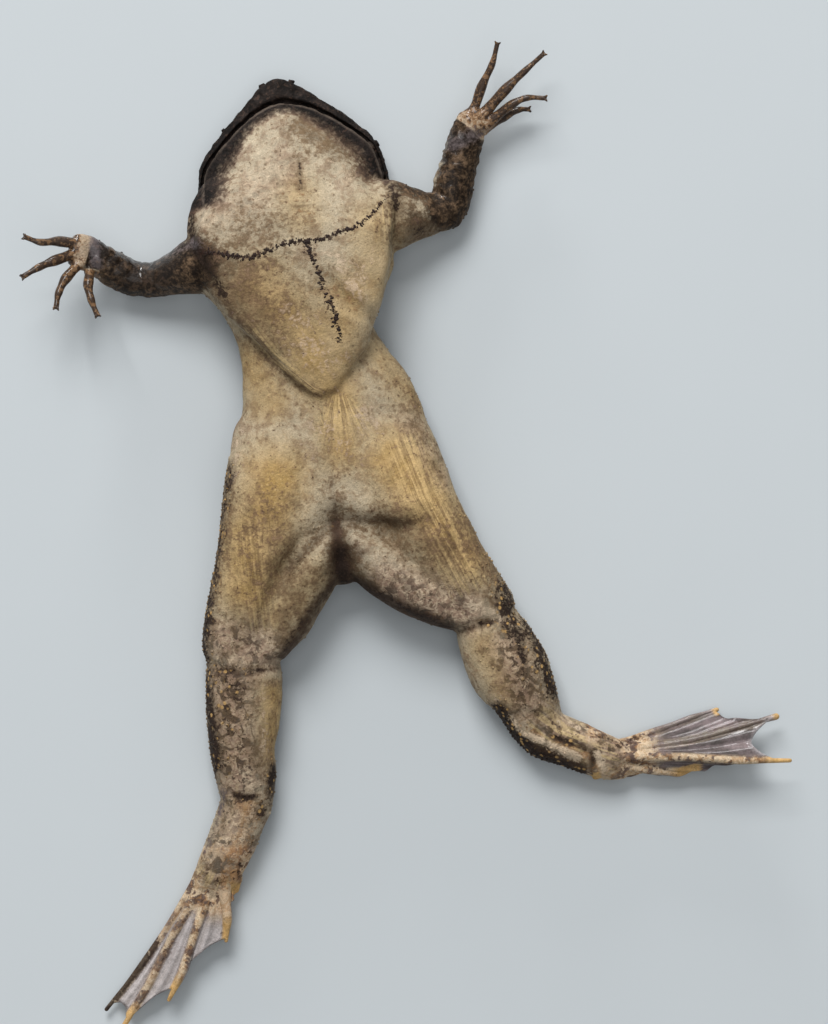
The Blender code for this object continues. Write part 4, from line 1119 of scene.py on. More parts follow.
def star_tip(name, stations):
    """The four-lobed star at a fingertip."""
    start, end = np.array(stations[-2][:3], float), np.array(stations[-1][:3], float)
    forward = unit(end - start)
    across = unit(np.cross(forward, UP))
    over = np.cross(across, forward)
    lobes = []
    for lobe in range(STAR_LOBES):
        angle = math.radians(45) + lobe * 2 * math.pi / STAR_LOBES
        outwards = across * math.cos(angle) + over * math.sin(angle)
        direction = forward * 0.75 + outwards
        lobes.append(spike(f"{name}_lobe_{lobe}", end - forward * 0.1, direction, STAR_LENGTH, 0.5))
    return lobes


def along_curve(curve, share):
    """The point at this share of a curve's steps."""
    place = share * (len(curve) - 1)
    low = min(int(place), len(curve) - 2)
    return curve[low] + (curve[low + 1] - curve[low]) * (place - low)


def free_edge(first, second, reach_first, reach_second, dip):
    """The line of a membrane's free edge."""
    one, other = smooth_curve(first, 8)[:, :3], smooth_curve(second, 8)[:, :3]
    line = []
    for s in np.linspace(0, 1, 9):
        reach = reach_first * (1 - s) + reach_second * s - dip * 4 * s * (1 - s)
        line.append((1 - s) * along_curve(one, reach) + s * along_curve(other, reach))
    return line


def web(name, first, second, reach_first, reach_second, dip, thickness, across_count=17, along_count=30):
    """The membrane between two toes, its free edge curved back and thicker, with folds along the toes."""
    one = smooth_curve(first, 8)[:, :3]
    other = smooth_curve(second, 8)[:, :3]

    grid = np.zeros((across_count, along_count, 3))
    swell = np.zeros((across_count, along_count, 1))
    fold = np.zeros((across_count, along_count, 1))
    for i, s in enumerate(np.linspace(0, 1, across_count)):
        hollow = 4 * s * (1 - s)
        reach = reach_first * (1 - s) + reach_second * s - dip * hollow
        for j, t in enumerate(np.linspace(0.06, 1, along_count)):
            share = t * reach
            grid[i, j] = (1 - s) * along_curve(one, share) + s * along_curve(other, share)
            swell[i, j] = 1 + 0.7 * rise(t, 0.93, 1.0) + 3.0 * fall(t, 0.08, 0.42)
            fold[i, j] = 0.6 * hollow * rise(t, 0.2, 0.5) * math.sin(s * 13.0 + 1.3 + math.sin(t * 4))
    normals = unit(np.cross(np.gradient(grid, axis=0), np.gradient(grid, axis=1)))
    grid += normals * fold
    half = normals * swell * thickness / 2
    points = np.vstack([(grid + half).reshape(-1, 3), (grid - half).reshape(-1, 3)])
    under = across_count * along_count
    faces = []
    for i in range(across_count - 1):
        for j in range(along_count - 1):
            a = i * along_count + j
            b, c, d = a + along_count, a + along_count + 1, a + 1
            faces += [(a, b, c), (a, c, d)]
            faces += [(a + under, c + under, b + under), (a + under, d + under, c + under)]
    rim = [i * along_count for i in range(across_count)]
    rim += [(across_count - 1) * along_count + j for j in range(1, along_count)]
    rim += [i * along_count + along_count - 1 for i in range(across_count - 2, -1, -1)]
    rim += [j for j in range(along_count - 2, 0, -1)]
    for here, beyond in zip(rim, rim[1:] + rim[:1]):
        faces += [(here, here + under, beyond + under), (here, beyond + under, beyond)]
    return new_object(name, points, faces)


def head_point(x, y, z):
    """A point of the head's own frame in the body's frame."""
    turn = math.radians(HEAD_TURN_DEG)
    return np.array(
        [
            HEAD_ORIGIN[0] + x * math.cos(turn) - y * math.sin(turn),
            HEAD_ORIGIN[1] + x * math.sin(turn) + y * math.cos(turn),
            z,
        ]
    )


def head_frame(points):
    """Points of the body's frame in the head's own frame."""
    turn = math.radians(HEAD_TURN_DEG)
    x, y = points[:, 0] - HEAD_ORIGIN[0], points[:, 1] - HEAD_ORIGIN[1]
    return x * math.cos(turn) + y * math.sin(turn), y * math.cos(turn) - x * math.sin(turn)


def head():
    """The flat triangular head: outlines stacked from crown to throat, with the mouth as a groove."""
    upper = smooth_curve([*HEAD_OUTLINE, HEAD_TIP], 8)
    lower = smooth_curve([*JAW_OUTLINE, JAW_TIP], 8)
    rings = []
    for z_snout, z_neck, inset, share in smooth_curve(HEAD_LAYERS, 3):
        outline = upper + (lower - upper) * share
        back, tip, widest = outline[0, 0], outline[-1, 0], outline[:, 1].max()
        sides = []
        for along, half in outline:
            forwards = (along - back) / (tip - back)
            y = along - inset * forwards
            z = z_neck + (z_snout - z_neck) * forwards
            sides.append((half * (1 - inset / widest), y, z))
        ring = [head_point(x, y, z) for x, y, z in sides]
        ring += [head_point(-x, y, z) for x, y, z in reversed(sides)]
        rings.append(ring)
    return rings_object("head_shell", np.array(rings))


def head_spikes(name, rows, radius_scale=1.0, tip_share=0.35, further=0.0):
    """Tapered flaps or tubes along the upper jaw."""
    made = []
    for index, (x, y, z, degrees, length, radius) in enumerate(rows):
        angle = math.radians(degrees + HEAD_TURN_DEG)
        direction = np.array([math.cos(angle), math.sin(angle), 0.0])
        root = head_point(x, y, z) + direction * (further - radius)
        size = radius * radius_scale
        made.append(spike(f"{name}_{index}", root, direction, length + radius, size, 9, tip_share))
    return made


def ball(name, x, y, radius, rings=25, sides=36):
    """A round eye, or the socket for one, in the crown."""
    centre = head_point(x, y, EYE_HEIGHT)
    polar = np.linspace(0, math.pi, rings + 2)[1:-1]
    angles = around(sides)
    made = []
    for angle in polar:
        flat = np.stack([np.cos(angles), np.sin(angles), np.zeros(sides)], axis=1) * math.sin(angle)
        made.append(centre + radius * (flat + UP * math.cos(angle)))
    return rings_object(name, np.array(made))


def settle(made):
    """Replaces an object's mesh by its mesh with the modifiers on it."""
    graph = bpy.context.evaluated_depsgraph_get()
    mesh = bpy.data.meshes.new_from_object(made.evaluated_get(graph))
    made.modifiers.clear()
    made.data = mesh


def combine(made, others, operation):
    """One Boolean with a collection of closed objects, which are then removed."""
    operands = bpy.data.collections.new("operands")
    bpy.context.scene.collection.children.link(operands)
    for other in others:
        bpy.context.scene.collection.objects.unlink(other)
        operands.objects.link(other)
    boolean = made.modifiers.new("combine", "BOOLEAN")
    boolean.operation = operation
    boolean.operand_type = "COLLECTION"
    boolean.collection = operands
    boolean.solver = "MANIFOLD"
    settle(made)
    for other in others:
        bpy.data.objects.remove(other, do_unlink=True)
    bpy.data.collections.remove(operands)


def body_core(grid, triangles):
    """The trunk, throat and limbs melted into one smooth body on a fine grid."""
    throat = [(*head_point(x, y, z), width, depth) for x, y, z, width, depth in THROAT]
    core = limb("toad_skin", TRUNK, boxiness=2.5)
    others = [limb(f"limb_{index}", stations) for index, stations in enumerate((throat, *LIMBS))]
    others.append(limb("breast", BREAST, boxiness=3.4))
    combine(core, others, "UNION")
    remesh = core.modifiers.new("melt", "REMESH")
    remesh.mode = "VOXEL"
    remesh.voxel_size = grid
    smooth = core.modifiers.new("soften", "SMOOTH")
    smooth.factor = 0.5
    smooth.iterations = 5
    settle(core)
    coarsen = core.modifiers.new("coarsen", "DECIMATE")
    coarsen.ratio = min(1.0, triangles / (2 * len(core.data.polygons)))
    settle(core)
    return core


def hand(side, palm, fingers):
    """A palm with four free fingers, each with its star."""
    made = [limb(f"{side}_palm", palm, sides=28, steps=6, boxiness=2.3)]
    for index, stations in enumerate(fingers):
        name = f"{side}_finger_{index + 1}"
        made.append(digit(name, stations))
        made += star_tip(name, stations)
    return made


def foot(side, toes, webs, thickness):
    """Five toes and the four membranes between them."""
    made = [digit(f"{side}_toe_{index + 1}", stations) for index, stations in enumerate(toes)]
    for index, sizes in enumerate(webs):
        made.append(web(f"{side}_web_{index + 1}", toes[index], toes[index + 1], *sizes, thickness))
    return made


def soften_joints(made):
    """Softens the mesh where toes and palms grow out of the body."""
    for index, (x, y, radius, rounds) in enumerate(SOFT_JOINTS):
        points, _ = read_mesh(made.data)
        far = np.linalg.norm(points[:, :2] - (x, y), axis=1)
        group = made.vertex_groups.new(name=f"joint_{index}")
        for vertex in np.nonzero(far < radius)[0]:
            group.add([int(vertex)], float(fall(far[vertex], radius * 0.5, radius)), "REPLACE")
        smooth = made.modifiers.new("soften", "SMOOTH")
        smooth.vertex_group = group.name
        smooth.factor = 0.5
        smooth.iterations = rounds
    settle(made)
    made.vertex_groups.clear()


def to_line(points, line):
    """Each point's distance in plan to a line of points, and how far along the line it is nearest."""
    line = np.array(line, float)[:, :2]
    nearest = np.full(len(points), 1e9)
    place = np.zeros(len(points))
    side = np.zeros(len(points))
    walked = 0.0
    for start, end in zip(line[:-1], line[1:]):
        step = end - start
        length = np.linalg.norm(step)
        offset = points[:, :2] - start
        share = np.clip((offset @ step) / length**2, 0, 1)
        gap = np.linalg.norm(offset - share[:, None] * step, axis=1)
        closer = gap < nearest
        nearest = np.where(closer, gap, nearest)
        place = np.where(closer, walked + share * length, place)
        side = np.where(closer, (offset[:, 0] * step[1] - offset[:, 1] * step[0]) / length, side)
        walked += length
    return nearest, place, side


def rise(values, low, high):
    """Goes softly from 0 at low to 1 at high."""
    share = np.clip((values - low) / (high - low), 0, 1)
    return share * share * (3 - 2 * share)


def fall(values, low, high):
    """Goes softly from 1 at low to 0 at high."""
    return 1 - rise(values, low, high)


def bell(gap, width):
    """Goes softly from 1 where the gap is 0 down to 0 beyond the width."""
    return np.exp(-((gap / width) ** 2))


def strokes(points, rows):
    """The most that any of the soft strokes puts on each point."""
    amount = np.zeros(len(points))
    for line, width, strength in rows:
        gap = to_line(points, line)[0]
        amount = np.maximum(amount, strength * bell(gap, width))
    return amount


def read_mesh(mesh):
    """A mesh's points, in millimetres, and its normals."""
    count = len(mesh.vertices)
    points = np.zeros(count * 3, np.float32)
    normals = np.zeros(count * 3, np.float32)
    mesh.vertices.foreach_get("co", points)
    mesh.vertex_normals.foreach_get("vector", normals)
    return points.reshape(-1, 3).astype(float) / MM, normals.reshape(-1, 3).astype(float)


def write_points(mesh, points):
    """Moves a mesh's points, given in millimetres."""
    mesh.vertices.foreach_set("co", (points * MM).astype(np.float32).ravel())
    mesh.update()


def lumps(points, size, seed):
    """Soft noise at each point, from about -1 to 1."""
    offset = Vector((seed * 17.3, seed * 5.1, seed * 9.7))
    return np.array([noise.noise(Vector(point) / size + offset) for point in points])


def fine_parts(points):
    """How far each point belongs to a finger, toe or membrane, which the body's shaping leaves alone."""
    fine = np.zeros(len(points))
    for digits in (LEFT_FINGERS, RIGHT_FINGERS, LEFT_TOES, RIGHT_TOES):
        for stations in digits:
            gap, place, _ = to_line(points, stations)
            fine = np.maximum(fine, rise(place, 3.0, 8.0) * fall(gap, 3.0, 4.5))
    return fine


def fibres(points):
    """How strongly the skin runs in fibres at each point, and its place across and along them."""
    amount = np.zeros(len(points))
    across = np.zeros(len(points))
    along = np.zeros(len(points))
    for line, width, strength, spacing in FIBRES:
        gap, place, side = to_line(points, line)
        length = place.max()
        here = strength * bell(gap, width) * rise(place, 0.0, 3.0) * fall(place, length - 3.0, length)
        stronger = here > amount
        amount = np.where(stronger, here, amount)
        across = np.where(stronger, side / spacing, across)
        along = np.where(stronger, place / 24.0, along)
    for tip, middle, half, nearest, furthest, spacing in FANS:
        offset = points[:, :2] - tip
        reach = np.linalg.norm(offset, axis=1)
        turn = np.degrees(np.arctan2(offset[:, 1], offset[:, 0])) - middle
        here = fall(np.abs(turn), half * 0.6, half)
        here *= rise(reach, nearest, nearest + 4.0) * fall(reach, furthest * 0.4, furthest)
        stronger = here > amount
        amount = np.where(stronger, here, amount)
        across = np.where(stronger, turn / spacing, across)
        along = np.where(stronger, reach / 30.0, along)
    return amount, across, along


def shape_creases(points, top):
    """The creases and ridges of the belly's side."""
    moved = np.zeros(len(points))
    for line, width, depth in CREASES:
        gap, place, _ = to_line(points, line)
        length = place.max()
        fade = 0.35 + 0.65 * rise(place, 0.0, 3.0) * fall(place, length - 3.0, length)
        moved -= depth * fade * (bell(gap, width) - 0.25 * bell(gap - 2 * width, width))
    return moved * top


def arm_folds(points):
    """The transverse folds of the wrinkled arms, from -0.7 in a furrow to 0.3 on a fold."""
    folds = np.zeros(len(points))
    wobble = lumps(points, 4.0, 3)
    for upper, lower in ARMS:
        line = [station[:2] for station in upper[1:] + lower[1:]]
        gap, place, _ = to_line(points, line)
        length = place.max()
        on_arm = fall(gap, 7.0, 10.0) * rise(place, 8.0, 16.0) * fall(place, length - 2.0, length + 1.0)
        wave = np.abs(np.sin(place / 3.6 * math.pi + wobble * 1.9))
        folds += (wave**0.6 - 0.7) * on_arm
    return folds


def shape_skin(mesh, skin):
    """Gives the bare body its creases, folds, lumps and uneven jaws."""
    points, normals = read_mesh(mesh)
    top = rise(normals[:, 2], -0.1, 0.35)
    body = 1 - fine_parts(points)
    moved = shape_creases(points, top) + arm_folds(points) * skin.fold_depth / MM
    lump = skin.lump_height / MM
    moved += lump * (0.8 * lumps(points, 7.0, 1) + 0.5 * lumps(points, 2.6, 2))
    _, y = head_frame(points)
    jaw = rise(y, 6.0, 14.0) * fall(points[:, 2], 9.0, 12.0)
    moved += jaw * (0.35 * lumps(points, 1.7, 4) + 0.3 * lumps(points, 3.6, 5))
    points += normals * (moved * body)[:, None]
    points[:, 2] = np.maximum(points[:, 2], 0.0)
    write_points(mesh, points)


def jaw_line():
    """The mouth's line, as points in the body's frame."""
    outline = smooth_curve(JAW_OUTLINE, 4)
    right = [head_point(half, along, 0) for along, half in outline]
    left = [head_point(-half, along, 0) for along, half in outline[::-1]]
    return [point[:2] for point in right + left]


# Farther away than any point, in millimetres.
FAR = 99.0
# A toe with more of a pigment than this is covered by it.
MOSTLY = 0.8


def add_most(amounts, name, values):
    """Raises an amount to these values where they are larger."""
    amounts[name] = np.maximum(amounts[name], values)


def foot_paint(points, amounts, toes, tones, pales, start):
    """Adds a foot's toes, and the membranes from this far out of its root on."""
    root = np.array(toes[2][0][:2])
    out = np.linalg.norm(points[:, :2] - root, axis=1)
    is_left = root[0] > 0
    side = (points[:, 0] > 55.0) if is_left else (points[:, 1] < -94.0)
    tone_here = pale_here = np.zeros(len(points))
    nearest = np.full(len(points), FAR)
    for stations, tone, pale in zip(toes, tones, pales):
        gap, place, _ = to_line(points, stations)
        length = place.max()
        tip = min(9.0, 0.35 * length) if pale > MOSTLY else 1.6
        if tone < MOSTLY:
            add_most(amounts, "tan", 0.85 * rise(place, length - tip, length - tip / 2) * (gap < 1.4))
        else:
            tone = tone * rise(place, 19.0, 31.0)
        tone_here = np.where(gap < nearest, tone, tone_here)
        pale_here = np.where(gap < nearest, pale, pale_here)
        nearest = np.minimum(nearest, gap)
    near = side * fall(nearest, 1.0, 1.9)
    root_here = side * fall(out, start, start + 9.0)
    add_most(amounts, "toe", np.maximum(near * pale_here, root_here) * rise(out, 3.0, 9.0))
    add_most(amounts, "dark", np.maximum(near * tone_here, root_here * 0.3))
    beside = np.maximum(1 - pale_here, rise(nearest, 0.7, 1.7))
    web_here = side * rise(out, start - 2.0, start + 7.0) * beside
    add_most(amounts, "membrane", web_here)
    add_most(amounts, "dark", 0.75 * web_here * bell(nearest - 1.5, 0.4))
    if not is_left:
        add_most(amounts, "grey", web_here)


def edge_paint(points, amounts, toes, webs, shining):
    """Adds the membranes' free edges: a painted highlight where they shine, and otherwise a painted shadow.
    """
    for index, sizes in enumerate(webs):
        gap = to_line(points, free_edge(toes[index], toes[index + 1], *sizes))[0]
        edge = amounts["membrane"] * bell(gap, 0.6)
        add_most(amounts, "film_edge" if index in shining else "dark", edge)


def hand_paint(points, amounts, fingers, palm, late, palm_dark):
    """Adds a hand's fingers, and its palm from this far beyond the wrist on."""
    for stations in fingers:
        gap, place, _ = to_line(points, stations)
        near = fall(gap, 2.6, 3.6) * rise(place, 0.6, 2.6)
        add_most(amounts, "hand", near)
        add_most(amounts, "dark", near * (0.56 + 0.14 * rise(place, 2.0, 6.0)))
        add_most(amounts, "tan", 0.5 * rise(place, place.max() - 0.6, place.max()) * (gap < 3.0))
    wrist = np.array(palm[0][:2])
    beyond = (points[:, :2] - wrist) @ unit(np.array(palm[-1][:2]) - wrist)
    near = fall(to_line(points, palm)[0], 5.0, 7.0) * rise(beyond, late - 1.6, late + 1.4)
    add_most(amounts, "hand", near)
    add_most(amounts, "dark", near * palm_dark)


def digit_paint(points):
    """The amounts of pigment, and of painted highlight and shadow at the membranes' free edges, on fingers,
    toes and membranes.
    """
    names = ("dark", "tan", "toe", "membrane", "hand", "grey", "film_edge")
    amounts = {name: np.zeros(len(points)) for name in names}
    foot_paint(points, amounts, LEFT_TOES, LEFT_TOE_DARK, LEFT_TOE_PALE, 14.0)
    foot_paint(points, amounts, RIGHT_TOES, RIGHT_TOE_DARK, RIGHT_TOE_PALE, 12.0)
    edge_paint(points, amounts, LEFT_TOES, LEFT_WEBS, (2,))
    edge_paint(points, amounts, RIGHT_TOES, RIGHT_WEBS, ())
    hand_paint(points, amounts, LEFT_FINGERS, LEFT_PALM, 0.0, 0.32)
    hand_paint(points, amounts, RIGHT_FINGERS, RIGHT_PALM, 2.6, 0.12)
    return amounts


def lip_paint(points):
    """The dark of the jaws and of the mouth's margin, and the painted highlight on the lip's edge."""
    x, y = head_frame(points)
    outline = smooth_curve(JAW_OUTLINE, 4)
    half = np.interp(y, outline[:, 0], outline[:, 1])
    gap = to_line(points, jaw_line())[0]
    depth = np.where((np.abs(x) < half) & (y < outline[-1, 0]), gap, -gap)
    on_head = rise(y, 12.0, 19.0) * fall(np.abs(x), 32.0, 36.0)
    reach = 5.4 + 2.6 * rise(np.abs(x), 6.0, 20.0) + 1.4 * rise(x, 3.0, 10.0) + 2.6 * rise(-x, 10.0, 20.0)
    margin = 1 - 0.5 * rise(depth, 0.4, reach * 0.55) - 0.5 * rise(depth, reach * 0.5, reach * 1.15)
    # A painted highlight where the lower lip's rounded edge catches the light.
    line = bell(depth - 1.1, 0.28) * on_head * rise(points[:, 2], 7.6, 9.0)
    return margin * on_head, line, on_head


def paint(points, normals):
    """The amounts of pigment, painted shade and painted highlight at each point of the skin."""
    belly = rise(normals[:, 2], -0.25, 0.35)
    digits = digit_paint(points)
    hand_amount, web_amount = digits["hand"], digits["membrane"]
    limb_only = (1 - hand_amount) * (1 - web_amount) * (1 - digits["toe"])
    back = fall(normals[:, 2], -0.6, 0.1) * limb_only
    lip, lip_line, on_head = lip_paint(points)
    dark = strokes(points, DARK_STROKES) * belly * (1 - web_amount)
    flanks = strokes(points, FLANK_STROKES)
    fibre, across, along = fibres(points)
    bar, stem = to_line(points, SEAM_BAR), to_line(points, SEAM_STEM)
    seam = np.maximum(
        0.8 * bell(bar[0], 0.8) * (1 - 0.4 * rise(bar[1], 44.0, 60.0)),
        0.8 * bell(stem[0], 1.0) * (1 - 0.5 * rise(stem[1], 14.0, 30.0)),
    )
    return {
        **digits,
        "dark": np.where(hand_amount > 0.02, digits["dark"], np.maximum(dark, digits["dark"])),
        "brown": strokes(points, BROWN_STROKES) * belly * limb_only,
        "olive": strokes(points, OLIVE_STROKES) * belly * limb_only,
        "pink": strokes(points, PINK_STROKES) * belly,
        "light": strokes(points, LIGHT_STROKES) * belly * limb_only,
        # Painted shade: in the folds, and in the furrows of the arms.
        "shade": np.maximum(strokes(points, SHADE_STROKES), -1.1 * arm_folds(points)) * (1 - web_amount),
        # The painted grey sheen of the wet arms and ankle.
        "slate": strokes(points, SHEEN_STROKES),
        "rust": strokes(points, RUST_STROKES) * belly,
        "arm": strokes(points, ARM_STROKES) * (1 - hand_amount),
        "back": back,
        "lip": lip,
        "lip_line": lip_line,
        "seam": seam * belly,
        "wet": strokes(points, WET_STROKES),
        "fibre": fibre * belly * limb_only,
        "run_across": across,
        "run_along": along,
        "warts": np.clip((flanks * 0.9 + back * 0.5) * limb_only * (1 - on_head), 0, 1),
    }


def store_paint(mesh, amounts):
    """Keeps the amounts of pigment, painted shade and painted highlight as attributes of the mesh's points.
    """
    for name, values in amounts.items():
        layer = mesh.attributes.get(name) or mesh.attributes.new(name, "FLOAT", "POINT")
        layer.data.foreach_set("value", values.astype(np.float32))


def to_solids(mesh):
    """Moves a mesh from the stations' frame to that of the solids."""
    mesh.transform(Matrix.Translation(-Vector(CENTRE) * MM))


def finish_piece(made, material):
    """Hands a finished piece over."""
    made.data.materials.clear()
    made.data.materials.append(material)
    made.data.shade_smooth()
    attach(made, "root")


# The flat copy's share of the skin's faces, the angle in degrees at which its map is cut, and the
# gap between the map's pieces.
FLAT_SHARE = 0.14
FLAT_ANGLE = 72
FLAT_MARGIN = 0.004


def flat_skin(skin_object):
    """A coarse copy of the skin that is unwrapped, for the roots of what grows on it."""
    made = scene_object("flat_skin", skin_object.data.copy())
    coarsen = made.modifiers.new("coarsen", "DECIMATE")
    coarsen.ratio = FLAT_SHARE
    settle(made)
    bpy.context.view_layer.objects.active = made
    for other in bpy.context.scene.objects:
        other.select_set(other == made)
    bpy.ops.object.mode_set(mode="EDIT")
    bpy.ops.mesh.select_all(action="SELECT")
    bpy.ops.uv.smart_project(angle_limit=math.radians(FLAT_ANGLE), island_margin=FLAT_MARGIN)
    bpy.ops.object.mode_set(mode="OBJECT")
    made.data.uv_layers[0].name = "flat"
    points, normals = read_mesh(made.data)
    store_paint(made.data, paint(points + np.array(CENTRE), normals))
    return made


# The tubercles of a square metre of fully warty skin, before their least distance thins them.
MOST_TUBERCLES = 3.0e6
FULL_TURN = 6.28
# The size of a bump's patch on the map, over the map's whole width.
MAP_PATCH = 0.0015


def growth_tree(name, scatter):
    """Geometry Nodes that grow small bumps, and note where each one's root lies on the flat skin."""
    tree = bpy.data.node_groups.new(name, "GeometryNodeTree")
    face = tree.interface
    face.new_socket("Geometry", in_out="INPUT", socket_type="NodeSocketGeometry")
    for label, kind in (
        ("Spacing", "NodeSocketFloat"),
        ("Radius", "NodeSocketFloat"),
        ("Height share", "NodeSocketFloat"),
        ("Width share", "NodeSocketFloat"),
        ("Seed", "NodeSocketInt"),
        ("Material", "NodeSocketMaterial"),
    ):
        face.new_socket(label, in_out="INPUT", socket_type=kind)
    face.new_socket("Geometry", in_out="OUTPUT", socket_type="NodeSocketGeometry")
    given = tree.nodes.new("NodeGroupInput").outputs
    radius = Num(tree, given["Radius"])

    def named(attribute, kind="FLOAT"):
        made = add_node(tree, "GeometryNodeInputNamedAttribute", {"data_type": kind}, {"Name": attribute})
        return made.outputs["Attribute"]

    def chance(low, high, number):
        values = {2: low, 3: high, "Seed": Num(tree, given["Seed"]) + number}
        made = add_node(tree, "FunctionNodeRandomValue", {"data_type": "FLOAT"}, values)
        return Num(tree, made.outputs[1])

    def stored(geometry, kind, domain, attribute, value):
        settings = {"data_type": kind, "domain": domain}
        values = {"Geometry": geometry, "Name": attribute, "Value": value}
        return add_node(tree, "GeometryNodeStoreNamedAttribute", settings, values).outputs[0]

    if scatter:
        values = {
            "Mesh": given["Geometry"],
            "Distance Min": given["Spacing"],
            "Density Max": MOST_TUBERCLES,
            "Density Factor": named("warts"),
            "Seed": given["Seed"],
        }
        settings = {"distribute_method": "POISSON"}
        spread = add_node(tree, "GeometryNodeDistributePointsOnFaces", settings, values)
        roots, turn = spread.outputs["Points"], spread.outputs["Rotation"]
        spin = add_node(tree, "ShaderNodeCombineXYZ", {}, {"Z": chance(0.0, FULL_TURN, 1)}).outputs[0]
        settings = {"rotation_space": "LOCAL"}
        turn = add_node(tree, "FunctionNodeRotateRotation", settings, {0: turn, 1: spin}).outputs[0]
    else:
        roots = given["Geometry"]
        heading = Num(tree, named("heading")) + chance(-0.7, 0.7, 1)
        turn = add_node(tree, "ShaderNodeCombineXYZ", {}, {"Z": heading}).outputs[0]
    size = radius * chance(0.45, 1.0, 2) * Num(tree, named("size"))
    width, height = Num(tree, given["Width share"]), Num(tree, given["Height share"])
    sizes = {"X": size, "Y": size * width, "Z": size * height}
    scale = add_node(tree, "ShaderNodeCombineXYZ", {}, sizes).outputs[0]
    bump = add_node(tree, "GeometryNodeMeshUVSphere", {}, {"Segments": 7, "Rings": 4, "Radius": 1.0})
    spot = add_node(tree, "GeometryNodeInputPosition", {}, {}).outputs[0]
    kept = stored(bump.outputs[0], "FLOAT_VECTOR", "POINT", "spot", spot)
    values = {"Points": roots, "Instance": kept, "Rotation": turn, "Scale": scale}
    grown = add_node(tree, "GeometryNodeInstanceOnPoints", {}, values).outputs[0]
    plain = add_node(tree, "GeometryNodeRealizeInstances", {}, {"Geometry": grown}).outputs[0]
    # Every bump has a small patch of the map around its root.
    values = {0: named("flat", "FLOAT_VECTOR"), 1: scaled(tree, named("spot", "FLOAT_VECTOR"), MAP_PATCH)}
    patch = add_node(tree, "ShaderNodeVectorMath", {"operation": "ADD"}, values).outputs[0]
    mapped = stored(plain, "FLOAT2", "CORNER", "OFBake", patch)
    values = {"Geometry": mapped, "Material": given["Material"]}
    dressed = add_node(tree, "GeometryNodeSetMaterial", {}, values).outputs[0]
    tree.links.new(dressed, tree.nodes.new("NodeGroupOutput").inputs["Geometry"])
    return tree


def grow(made, tree, sizes, height_share, width_share, material):
    """Puts the tree on an object with its inputs, and keeps the plain mesh that it makes."""
    modifier = made.modifiers.new("grow", "NODES")
    modifier.node_group = tree
    inputs = {"Spacing": sizes.spacing, "Radius": sizes.radius, "Seed": sizes.seed, "Material": material}
    inputs |= {"Height share": height_share, "Width share": width_share}
    for socket in tree.interface.items_tree:
        if socket.in_out == "INPUT" and socket.name in inputs:
            modifier[socket.identifier] = inputs[socket.name]
    settle(made)


class TOAD_OT_skin(bpy.types.Operator):
    """Models the one skin that stands for all the solids of flesh"""

    bl_idname = "toad.skin"
    bl_label = "Skin"

    def execute(self, context):
        skin = context.scene.toad_skin
        core = body_core(skin.grid, skin.body_triangles)
        extras = [head(), *head_spikes("flap", HEAD_FLAPS, tip_share=0.5)]
        extras += head_spikes("nostril", NOSTRILS, tip_share=0.75)
        extras += hand("left", LEFT_PALM, LEFT_FINGERS)
        extras += hand("right", RIGHT_PALM, RIGHT_FINGERS)
        thickness = skin.web_thickness / MM
        extras += foot("left", LEFT_TOES, LEFT_WEBS, thickness)
        extras += foot("right", RIGHT_TOES, RIGHT_WEBS, thickness)
        combine(core, extras, "UNION")
        reach = EYE_RADIUS + SOCKET_GAP
        hollows = [ball(f"{name}_socket", x, y, reach) for name, (x, y) in EYE_PLACES.items()]
        hollows += head_spikes("bore", NOSTRILS, NOSTRIL_BORE, tip_share=1.0, further=1.2)
        combine(core, hollows, "DIFFERENCE")
        soften_joints(core)
        shape_skin(core.data, skin)
        store_paint(core.data, paint(*read_mesh(core.data)))
        to_solids(core.data)
        finish_piece(core, skin_material(skin))
        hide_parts(*FLESH)
        print("skin triangles", sum(len(face.vertices) - 2 for face in core.data.polygons))
        return {"FINISHED"}


# The share of the seam's places that stay empty.
SEAM_GAPS = 0.26
# The angle between the seam and its papillae, in degrees.
PAPILLA_TURN = 78
# A height over the whole toad, in millimetres.
WELL_ABOVE = 80.0


